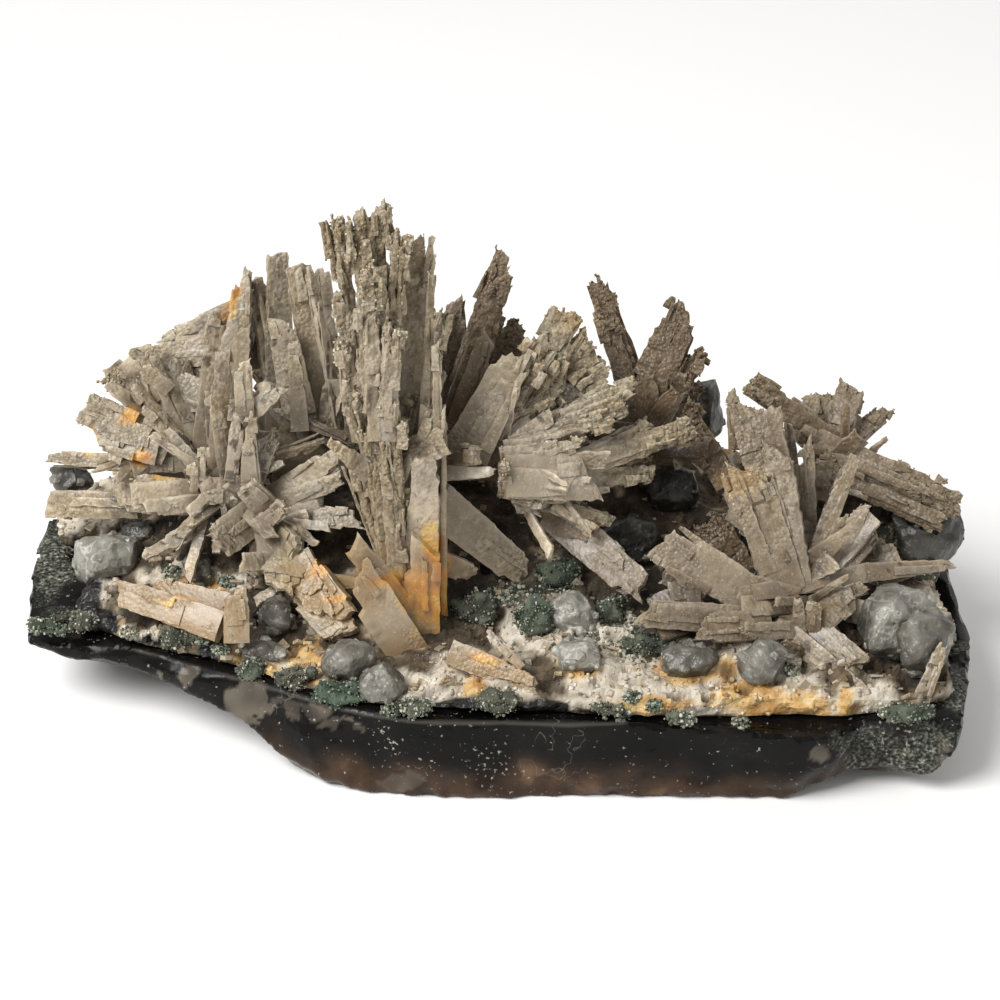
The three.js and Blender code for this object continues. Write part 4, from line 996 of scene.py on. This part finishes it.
def draw_blade(bar, plates, crusted, seed, laths):
    """One blade: a flat core, strips that lie along it, and short broken ends at its tip."""
    width, thickness = max(bar["widths"]), bar["thickness"]
    tone = hashed(seed + 0.11)
    share = 0.95 - 0.8 * max(0.0, crusted - 0.6)
    widths = (share * bar["widths"][0], share * bar["widths"][1])
    core = dict(bar, thickness=max(0.8, 0.45 * thickness), widths=widths)
    draw_lath(bark if crusted > 0.5 else broad, core, 1.2 + 0.9 * crusted, crusted, tone, seed, laths)
    for i in range(round(plates * (0.35 + width / 8))):
        key = seed * 13.7 + i * 1.9
        out = 1 if hashed(key) < 0.62 else -1
        sheet = crusted < 0.5 and hashed(key + 0.05) < 0.6
        if sheet:  # a broad thin sheet that covers part of the blade
            strip_width = width * (0.35 + 0.5 * hashed(key + 0.1))
            deep = 0.25 + 0.3 * hashed(key + 0.3)
        else:
            part = 0.14 + 0.12 * (crusted > 0.5) + 0.3 * hashed(key + 0.1)
            strip_width = max(1.1, width * part)
            deep = 0.4 + 0.2 * thickness * hashed(key + 0.3)
        middle = 1.02 * (1 - strip_width / width) * (2 * hashed(key + 0.2) - 1)
        layer = out * (0.225 * thickness + deep * (0.5 * hashed(key + 0.4) - 0.1))
        start = 0.5 * hashed(key + 0.5)
        end = min(0.55 + 0.45 * hashed(key + 0.6), end_at(bar, seed, middle) + 0.03)
        yaw, pitch = 6 * (hashed(key + 0.7) - 0.5), out * 2.4 * hashed(key + 0.8)
        shade = 0.5 * tone + 0.5 * hashed(key + 0.9)
        strip = strip_of(bar, (middle, layer, start, end, strip_width, deep, yaw, pitch))
        draw_lath(slim, strip, 0.8 + 0.7 * crusted, crusted, shade, key, laths)
    shingles = round(bar["length"] * width * max(0.0, crusted - 0.5) / 9)
    for i in range(shingles):  # short blunt crystals that lean out all the way up
        key = seed * 9.1 + i * 2.9
        out = 1 if hashed(key) < 0.68 else -1
        strip_width, deep = 1.0 + 1.7 * hashed(key + 0.1), 0.9 + 1.1 * hashed(key + 0.2)
        middle = 2.1 * (hashed(key + 0.3) - 0.5)
        layer = out * (0.2 * thickness + 0.3 * hashed(key + 0.4))
        last = end_at(bar, seed, middle)
        start = min(0.94 * hashed(key + 0.5) ** 0.7, last - 0.05)
        end = min(last + 0.02, start + (2.2 + 4.2 * hashed(key + 0.6)) / bar["length"])
        yaw, pitch = 12 * (hashed(key + 0.7) - 0.5), out * (2 + 13 * hashed(key + 0.8))
        strip = strip_of(bar, (middle, layer, start, end, strip_width, deep, yaw, pitch))
        draw_lath(stub, strip, 0.8, crusted, hashed(key + 0.9), key, laths)
    for i in range(round(crusted * width)):  # broken ends at the tip
        key = seed * 5.3 + i * 2.3
        middle = 1.6 * (hashed(key) - 0.5)
        layer = 0.6 * thickness * (hashed(key + 0.1) - 0.5)
        last = end_at(bar, seed, middle)
        start = last - 0.05 - 0.2 * hashed(key + 0.2)
        end = last + (1.2 * hashed(key + 0.3) - 0.3) / bar["length"]
        chip_width, deep = 1.1 + 1.7 * hashed(key + 0.4), 0.7 + 1.0 * hashed(key + 0.5)
        yaw, pitch = 14 * (hashed(key + 0.6) - 0.5), 10 * (hashed(key + 0.7) - 0.5)
        strip = strip_of(bar, (middle, layer, start, end, chip_width, deep, yaw, pitch))
        draw_lath(chip_end, strip, 0.7, crusted, hashed(key + 0.8), key, laths)


broad = lath_blank("broad_blank", 30, 6)
bark = lath_blank("bark_blank", 56, 9)
slim = lath_blank("slim_blank", 16, 3)
stub = lath_blank("stub_blank", 7, 2)
chip_end = lath_blank("chip_blank", 5, 2)
bpy.ops.object.select_all(action="DESELECT")

# Drusy quartz after anhydrite: a satin gloss and a little light through it where it is clear,
# matt and knobbly where crystals crust it; rims are paler as a painted highlight, dirt with painted
# shade and rust lie low down, and painted shade darkens what is shut in or turned away.
drusy = finish("quartz after anhydrite, drusy and striated")
coords = add(drusy, "TexCoord").node.outputs["Object"]
lengthwise = add(drusy, "Attribute", attribute_name="lengthwise").node.outputs["Vector"]
stretch = add(drusy, "Mapping", lengthwise, Scale=(1.6, 0.07, 1.2))
streak = add(drusy, "TexNoise", stretch, 1.0, 3)  # striations 0.6 mm apart and 14 mm long
cloud = add(drusy, "TexNoise", coords, 170, 5)  # clouds of 6 mm
zone = add(drusy, "TexNoise", coords, 95, 3)  # clear zones of 10 mm
grit = add(drusy, "TexNoise", coords, 800, 4)  # grains of 1.2 mm, coarser than real ones
powder = add(drusy, "TexNoise", coords, 2400, 3)  # glints of 0.4 mm
knobs = add(drusy, "TexVoronoi", coords, 1300)  # crystals of 0.8 mm
PARTS = ("tone", "crusted", "foot", "brown", "stain", "rim", "peach", "closed", "bleached")
parts = [add(drusy, "Attribute", attribute_name=name) for name in PARTS]
tone, crusted, foot, brown, stain, rim, peach, closed, bleached = parts
shade = add(drusy, "Math", tone, 0.5, cloud, operation="MULTIPLY_ADD")
stops = [(0.4, "807258"), (0.62, "AC9C81"), (0.85, "CFC1A9"), (0.98, "E4DACA")]
glassy = add(drusy, "ValToRGB", shade, stops=stops)
stops = [(0.35, "88744D"), (0.62, "B3A077"), (0.85, "CEBD98"), (1.0, "E0D3B6")]
crumbly = add(drusy, "ValToRGB", shade, stops=stops)
patchy = add(drusy, "MapRange", cloud, 0.5, 0.62, 0, 0.3)
grainy = add(drusy, "Math", crusted, patchy, operation="ADD", use_clamp=True)
cool = add(drusy, "MapRange", zone, 0.47, 0.6, 0, 0.75)
smooth = add(drusy, "MapRange", grainy, 0, 1, 1.0, 0.15)
cool = add(drusy, "Math", cool, smooth, operation="MULTIPLY")
dark_grit = add(drusy, "MapRange", grit, 0.49, 0.36, 0, 0.9)
holding = add(drusy, "MapRange", grainy, 0, 1, 0.08, 0.85)
dark_grit = add(drusy, "Math", dark_grit, holding, operation="MULTIPLY")
pale_grit = add(drusy, "MapRange", grit, 0.54, 0.66, 0, 0.5)
lined = add(drusy, "MapRange", streak, 0.55, 0.75, 0, 0.14)
# Painted highlight on the pale rims.
painted_rim_light = add(drusy, "Math", rim, 0.6, operation="MULTIPLY")
whiter = add(drusy, "Math", bleached, 0.45, operation="MULTIPLY")
# Dirt with painted shade, low down and in the pits between the knobs.
dirt_and_shade = add(drusy, "Math", foot, cloud, operation="MULTIPLY")  # gathers low down and in pits
warmth = add(drusy, "Math", peach, 0.75, operation="MULTIPLY")
# Painted shade where the blade is shut in.
shadowy = add(drusy, "MapRange", closed, 0.32, 0.75, 0, 0.85)
spread = add(drusy, "Math", cloud, 1.3, stain, operation="MULTIPLY_ADD")
spread = add(drusy, "MapRange", spread, 0.95, 1.6, 0, 0.95)
rust = add(drusy, "ValToRGB", cloud, stops=[(0.35, "945A1A"), (0.5, "BC8636"), (0.65, "CCAA64")])
glint = add(drusy, "MapRange", powder, 0.62, 0.74, 0, 0.45)
layers = [  # each colour lies over those before it, by its share
    (grainy, crumbly),
    (cool, "827A70"),
    (dark_grit, "6B583A"),
    (pale_grit, "E2D6C0"),
    (lined, "7B6848"),
    (painted_rim_light, "DDD1BB"),
    (whiter, "DFD2BC"),
    (dirt_and_shade, "66532F"),
    (brown, "66523A"),
    (warmth, "86683B"),
    (shadowy, "3A2E20"),
    (spread, rust),
    (glint, "E8DDC8"),
]
stone = glassy
for share, colour in layers:
    stone = add(drusy, "Mix", share, stone, colour, data_type="RGBA")
relief = add(drusy, "Bump", Height=streak, Strength=0.12, Distance=0.0002)
coarse = add(drusy, "MapRange", grainy, 0, 1, 0.2, 1.3)
coarse = add(drusy, "Math", grit, coarse, operation="MULTIPLY")
relief = add(drusy, "Bump", Height=coarse, Normal=relief, Strength=0.35, Distance=0.0004)
knobs = add(drusy, "Math", knobs, grainy, operation="MULTIPLY")
knobbly = {"Strength": 0.8, "Distance": 0.0006, "invert": True}
relief = add(drusy, "Bump", Height=knobs, Normal=relief, **knobbly)
gloss = add(drusy, "MapRange", grainy, 0, 1, 0.33, 0.62)
glow = {"Subsurface_Weight": 0.4, "Subsurface_Radius": (1.0, 0.8, 0.6), "Subsurface_Scale": 0.0013}
shader = {"Base_Color": stone, "Roughness": gloss, "Normal": relief}
add(drusy, "BsdfPrincipled", IOR=1.54, **shader, **glow)


def grow_spray(name, plates, crusted, brown_and_shade_share, grains):
    """Draws every lath of a spray, dusts them with crystal grains and makes one mesh of them."""
    bars = [drawn_blade(row) for row in BLADES[name]]
    shares = [row[10] if len(row) > 10 else crusted for row in BLADES[name]]
    if name in REAR_FANS:
        bars += rear_blades(*REAR_FANS[name])
    laths = []
    for i, (bar, share) in enumerate(itertools.zip_longest(bars, shares, fillvalue=crusted)):
        draw_blade(bar, plates, share, len(name) * 11.3 + i * 2.37, laths)
    for i, row in enumerate(FOOT_PLATES.get(name, [])):
        for j, bar in enumerate(foot_plates(*row)):
            key = len(name) * 7.7 + i * 5.1 + j * 1.3
            draw_lath(slim, bar, 0.8, 0.6 * crusted, hashed(key), key, laths)
    spray = laths[0]
    join_to(spray, laths[1:])
    spray.name = f"{name}_crystals"
    shade_by_angle(spray, 28)

    points = points_of(spray)
    crust_of = np.empty(len(points), np.float32)
    spray.data.attributes["crusted"].data.foreach_get("value", crust_of)
    tries = picked(np.arange(6 * grains) * 1.31 + len(name), len(points))
    patchy = soft_step(grain(points[tries], 3.5, 5.0), -0.3, 0.3)
    keep = hashed(tries + 0.7) < 0.04 + crust_of[tries] ** 2 * patchy
    picks = tries[keep][:grains]
    places = points[picks] + stray_by(0.3, picks)
    sizes = 0.09 + (0.07 + 0.2 * crust_of[picks] ** 2) * hashed(picks + 0.5)
    values = {"tone": 0.25 + 0.5 * hashed(picks + 0.9), "crusted": crust_of[picks]}
    values |= {"foot": np.zeros(len(picks)), "rim": np.zeros(len(picks))}
    join_to(spray, [scatter(f"{name}_grains", sugar, places, sizes, values, worn=True)])
    points = points_of(spray)
    warped = points + 1.2 * grain(points, 3.0, 6.0)[:, None]
    peachy = blots(warped, PEACH_SPOTS)
    normals = normals_of(spray)
    # Painted shade: sides turned to the right and to the back are made browner, and the spray's brown
    # share is partly painted shade on its back and low blades.
    painted_side_shade = 0.3 * soft_step(normals[:, 0], 0.4, 0.9) + 0.2 * soft_step(normals[:, 1], 0.3, 0.9)
    write_values(spray, "closed", shut_in(points, normals) * (1 - 0.75 * peachy))
    write_values(spray, "brown", np.clip(brown_and_shade_share + painted_side_shade, 0, 1) * (1 - 0.6 * peachy))
    write_values(spray, "stain", blots(warped, BLADE_STAINS))
    write_values(spray, "peach", peachy)
    write_values(spray, "bleached", blots(warped, PALE_SPOTS))
    return spray


for name, looks in SPRAY_LOOKS.items():
    spray = grow_spray(name, *looks)
    spray.data.materials.clear()
    spray.data.materials.append(drusy)
    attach(spray, "root")
    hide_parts(name)
for blank in (broad, bark, slim, stub, chip_end):
    bpy.data.objects.remove(blank)

# ---- Grey quartz lumps -----------------------------------------------------------------------
# Rounded growths of grey quartz between the blades, with flattened sides and small crystals on
# them. Three of them are bunches of bubbles.

LUMP_VOXEL, LUMP_BUBBLE = 0.42, 3.6
LUMP_FLATS, LUMP_CRYSTALS = 13, 26  # flattened sides, and small crystals on each
# One value for each lump, by its number.
LUMP_PALENESS = [0.52, 0.2, 0.15, 0.3, 0.35, 0.3, 0.35, 0.35, 0.55, 0.5]
LUMP_PALENESS += [0.3, 0.35, 0.4, 0.3, 0.15, 0.1, 0.2, 0.05, 0.05]
BUBBLY_LUMPS = (14, 15, 16)
lump_names = sorted(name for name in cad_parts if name.startswith("quartz_lump"))

# Botryoidal quartz: glassy under a thin white frost and a little clear, darker where it is thick,
# with painted shade where it is shut in, and milky veins in the paler lumps.
chalcedony = finish("grey quartz, botryoidal and frosted")
coords = add(chalcedony, "TexCoord").node.outputs["Object"]
cloud = add(chalcedony, "TexNoise", coords, 260, 5)  # clouds of 4 mm
frost = add(chalcedony, "TexNoise", coords, 1100, 3)  # frost of 0.9 mm, coarser than real frost
vein = add(chalcedony, "TexNoise", coords, 190, 3)  # veins 5 mm apart
closed = add(chalcedony, "Attribute", attribute_name="closed")
pale = add(chalcedony, "Attribute", attribute_name="pale")
mixed = add(chalcedony, "Math", cloud, 0.7, pale, operation="MULTIPLY_ADD")
stops = [(0.35, "2F2B25"), (0.6, "5F5B51"), (0.8, "8B887D"), (1.0, "B5B2A6")]
stone = add(chalcedony, "ValToRGB", mixed, stops=stops)
rime = add(chalcedony, "MapRange", frost, 0.6, 0.76, 0, 0.5)
apart = add(chalcedony, "Math", vein, 0.5, operation="SUBTRACT")
apart = add(chalcedony, "Math", apart, operation="ABSOLUTE")
vein = add(chalcedony, "MapRange", apart, 0.026, 0.006, 0, 0.65)
milky = add(chalcedony, "MapRange", pale, 0.3, 0.5)
vein = add(chalcedony, "Math", vein, milky, operation="MULTIPLY")
# Painted shade where the lump is shut in.
shadowy = add(chalcedony, "MapRange", closed, 0.3, 0.8, 0, 0.7)
for share, colour in [(rime, "C4BFB1"), (vein, "D8D4C8"), (shadowy, "23211D")]:
    stone = add(chalcedony, "Mix", share, stone, colour, data_type="RGBA")
relief = add(chalcedony, "Bump", Height=cloud, Strength=0.8, Distance=0.0018)
relief = add(chalcedony, "Bump", Height=frost, Normal=relief, Strength=0.4, Distance=0.0003)
shader = {"Base_Color": stone, "Normal": relief, "Transmission_Weight": 0.3}
add(chalcedony, "BsdfPrincipled", IOR=1.54, Roughness=0.36, **shader)

for i, name in enumerate(lump_names):
    lump = rough_copy(name, f"{name}_growth", LUMP_VOXEL)
    apply_modifier(lump, "SMOOTH", factor=0.5, iterations=8)
    points = points_of(lump)
    dome, _ = cells(points, LUMP_BUBBLE, i)
    points += normals_of(lump) * ((1.0 if i in BUBBLY_LUMPS else 0.6) * (0.95 - dome))[:, None]
    middle = points.mean(axis=0)
    for k in range(LUMP_FLATS):
        turn, rise = 6.28 * hashed(9 * i + k), 1.6 * hashed(9 * i + k + 0.3) - 0.6
        level = math.sqrt(max(0.0, 1 - rise * rise))
        way = np.array((math.cos(turn) * level, math.sin(turn) * level, rise))
        reach = (points - middle) @ way
        limit = reach.max() * (0.74 + 0.2 * hashed(9 * i + k + 0.6))
        points -= (np.maximum(reach - limit, 0) * 0.93)[:, None] * way
    points += normals_of(lump) * (0.1 * grain(points, 0.9) + 0.4 * grain(points, 2.4))[:, None]
    move_points(lump, points)
    write_values(lump, "pale", np.full(len(points), LUMP_PALENESS[i]))
    write_values(lump, "closed", shut_in(points, normals_of(lump)))
    picks = picked(np.arange(LUMP_CRYSTALS) + 5.3 * i, len(points))
    sizes = 0.3 + 1.2 * hashed(picks + 0.5) ** 2
    paler = LUMP_PALENESS[i] + 0.2 * hashed(picks + 0.9) - 0.05
    values = {"closed": np.full(len(picks), 0.2), "pale": paler}
    sunk = points[picks] - 0.3 * normals_of(lump)[picks]
    join_to(lump, [scatter(f"{name}_crystals", pebble, sunk, sizes, values)])
    lump.data.materials.append(chalcedony)
    shade_by_angle(lump, 24)
    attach(lump, "root")
    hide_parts(name)

# ---- Celadonite tufts ------------------------------------------------------------------------
# Mossy green tufts of a soft clay mineral: loose grains, teal to olive, with a few pale quartz
# grains caught in them.

TUFT_VOXEL = 0.5
GRAINS_PER_TUFT = 760
# One value for each tuft, by its number.
TUFT_TEAL = [0.6, 0.15, 0.2, 0.4, 0.2, 1.0, 0.3, 0.3, 0.6, 0.5, 0.4, 0.4, 0.1, 0.3, 0.5, 0.3]
tuft_names = sorted(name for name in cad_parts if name.startswith("celadonite_tuft"))

# Earthy clay mineral: no gloss at all, olive in some tufts and teal in others, nearly white where
# a grain of quartz is caught in it.
moss = finish("celadonite, earthy")
coords = add(moss, "TexCoord").node.outputs["Object"]
own_shade = add(moss, "Attribute", attribute_name="shade")
teal = add(moss, "Attribute", attribute_name="teal")
cloud = add(moss, "TexNoise", coords, 500, 3)  # tufts of 2 mm
mixed = add(moss, "Math", cloud, 0.4, own_shade, operation="MULTIPLY_ADD")
stops = [(0.2, "211F17"), (0.42, "46443A"), (0.65, "6A6858"), (0.85, "918E7D"), (1.0, "C4C0AE")]
olive = add(moss, "ValToRGB", mixed, stops=stops)
stops = [(0.2, "1D2319"), (0.42, "3C4A3B"), (0.65, "5D6D5B"), (0.85, "899181"), (1.0, "BFC0AF")]
blue = add(moss, "ValToRGB", mixed, stops=stops)
green = add(moss, "Mix", teal, olive, blue, data_type="RGBA")
add(moss, "BsdfPrincipled", Base_Color=green, Roughness=0.95)

for i, name in enumerate(tuft_names):
    tuft = rough_copy(name, f"{name}_moss", TUFT_VOXEL)
    points = points_of(tuft)
    normals = normals_of(tuft)
    points += normals * (1.5 * grain(points, 3.0, i) + 0.6 * grain(points, 1.3, i) - 0.6)[:, None]
    move_points(tuft, points)
    write_values(tuft, "shade", 0.25 + 0.2 * grain(points, 2.0))
    picks = picked(np.arange(GRAINS_PER_TUFT) + 7.7 * i, len(points))
    sizes = 0.08 + 0.2 * hashed(picks + 0.5) ** 2
    places = points[picks] + stray_by(1.1, picks)
    shades = 0.2 + 0.55 * hashed(picks + 0.9) + 0.25 * grain(points[picks], 3.0)
    caught = soft_step(grain(points[picks], 2.2, 4.0), 0.35, 0.5)  # where quartz is caught
    shades += 0.5 * caught * (hashed(picks + 0.77) < 0.16)
    looks = {"shade": shades}
    join_to(tuft, [scatter(f"{name}_grains", sugar, places, sizes, looks, worn=True)])
    points = points_of(tuft)
    write_values(tuft, "teal", TUFT_TEAL[i] + 0.25 * grain(points, 3.0, 2.0))
    tuft.data.materials.append(moss)
    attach(tuft, "root")
    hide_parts(name)

# Grains of it that lie loose: in patches on the crust, and in small tufts of their own [u, v].
LOOSE_TUFTS = [(-74, -26.6), (-56, -30), (-22, -42), (-15, -41), (24.4, -43), (26.4, -39.4)]
LOOSE_TUFTS += [(31, -41.2), (48.2, -44.4), (-54.4, -16.4), (-65.6, -14.4), (58, -34)]
LOOSE_TUFTS += [(-60, -28), (2, -20), (18, -27)]
GRAINS_PER_LOOSE_TUFT, TUFT_REACH = 110, 1.9
ANY_DEPTH = 45.0  # a point on the line of sight through (u, v) is all that is asked for
PATCH_TRIES, PATCH_GRAINS = 60000, 4200
ground = tree_of([slab, crust])
places, sizes, shades = [], [], []
for i, (u, v) in enumerate(LOOSE_TUFTS):
    for k in range(GRAINS_PER_LOOSE_TUFT):
        key = 31.7 * i + 1.3 * k
        turn, reach = 6.28 * hashed(key), TUFT_REACH * math.sqrt(hashed(key + 0.2))
        spot = at(u + reach * math.cos(turn), v + 0.7 * reach * math.sin(turn), ANY_DEPTH)
        place, facing, _, _ = ground.ray_cast(Vector(EYE), Vector(spot - EYE))
        if place is None:
            continue
        lift = 0.9 * (1 - reach / TUFT_REACH) * hashed(key + 0.4)
        places.append(np.array(place) + lift * np.array(facing))
        sizes.append(0.14 + 0.2 * hashed(key + 0.6))
        shades.append(0.1 + 0.75 * hashed(key + 0.8))
tries = picked(np.arange(PATCH_TRIES) * 1.73 + 0.4, len(crust_points))
mossy = crust_looks["mossy"][tries] * (crust_normals[tries, 2] > 0)
patches = tries[hashed(tries + 0.31) < mossy][:PATCH_GRAINS]
places = np.concatenate([places, crust_points[patches]])
sizes = np.concatenate([sizes, 0.15 + 0.25 * hashed(patches + 0.2)])
shades = np.concatenate([shades, 0.1 + 0.75 * hashed(patches + 0.6)])
loose_moss = scatter("loose_celadonite", sugar, places, sizes, {"shade": shades})
write_values(loose_moss, "teal", 0.4 + 0.5 * grain(points_of(loose_moss), 9.0, 3.0))
loose_moss.data.materials.append(moss)
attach(loose_moss, "root")

# ---- Broken plates lying on the crust --------------------------------------------------------
# Small flat pieces broken off the blades, of the same quartz, which the crust has grown round.

CLUTTER = [(-46, -27, 10, 6), (-62, -18, 9, 4), (10, -24, 12, 7), (30, -30, 10, 4), (66, -36, 9, 5)]
CLUTTER += [(-24, -37, 9, 3), (-80, -10, 6, 5), (-2, -33, 8, 4), (50, -28, 10, 4)]
PLATE_TRIES, PLATES_KEPT = 9000, 900
tries = picked(np.arange(PLATE_TRIES) * 1.93 + 0.8, len(crust_points))
share = np.maximum(0.12 + 0.3 * outer[tries], blots(crust_points[tries], CLUTTER))
share *= crust_normals[tries, 2] > 0
picks = tries[hashed(tries + 0.21) < share][:PLATES_KEPT]
values = {"tone": hashed(picks + 0.3), "crusted": 0.5 * hashed(picks + 0.4)}
values |= {"foot": 0.4 * hashed(picks + 0.7), "rim": 0.5 * hashed(picks + 0.15)}
sizes = 0.45 + 0.95 * hashed(picks + 0.5) ** 2
plates = scatter("loose_plates", sugar, crust_points[picks], sizes, values, flat=0.35)
points = points_of(plates)
# Painted shade where the plates are shut in.
write_values(plates, "closed", 0.8 * shut_in(points, normals_of(plates)))
write_values(plates, "bleached", blots(points, PALE_SPOTS))
write_values(plates, "brown", np.repeat(0.7 * hashed(picks + 0.35) ** 2, len(sugar[0])))
write_values(plates, "stain", 0.8 * blots(points, ORANGE_SPOTS))
plates.data.materials.append(drusy)
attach(plates, "root")

# ---- Size, and the end -----------------------------------------------------------------------
visual_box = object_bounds()
sizes = {"cad": [list(corner) for corner in cad_box], "visual": [list(corner) for corner in visual_box]}
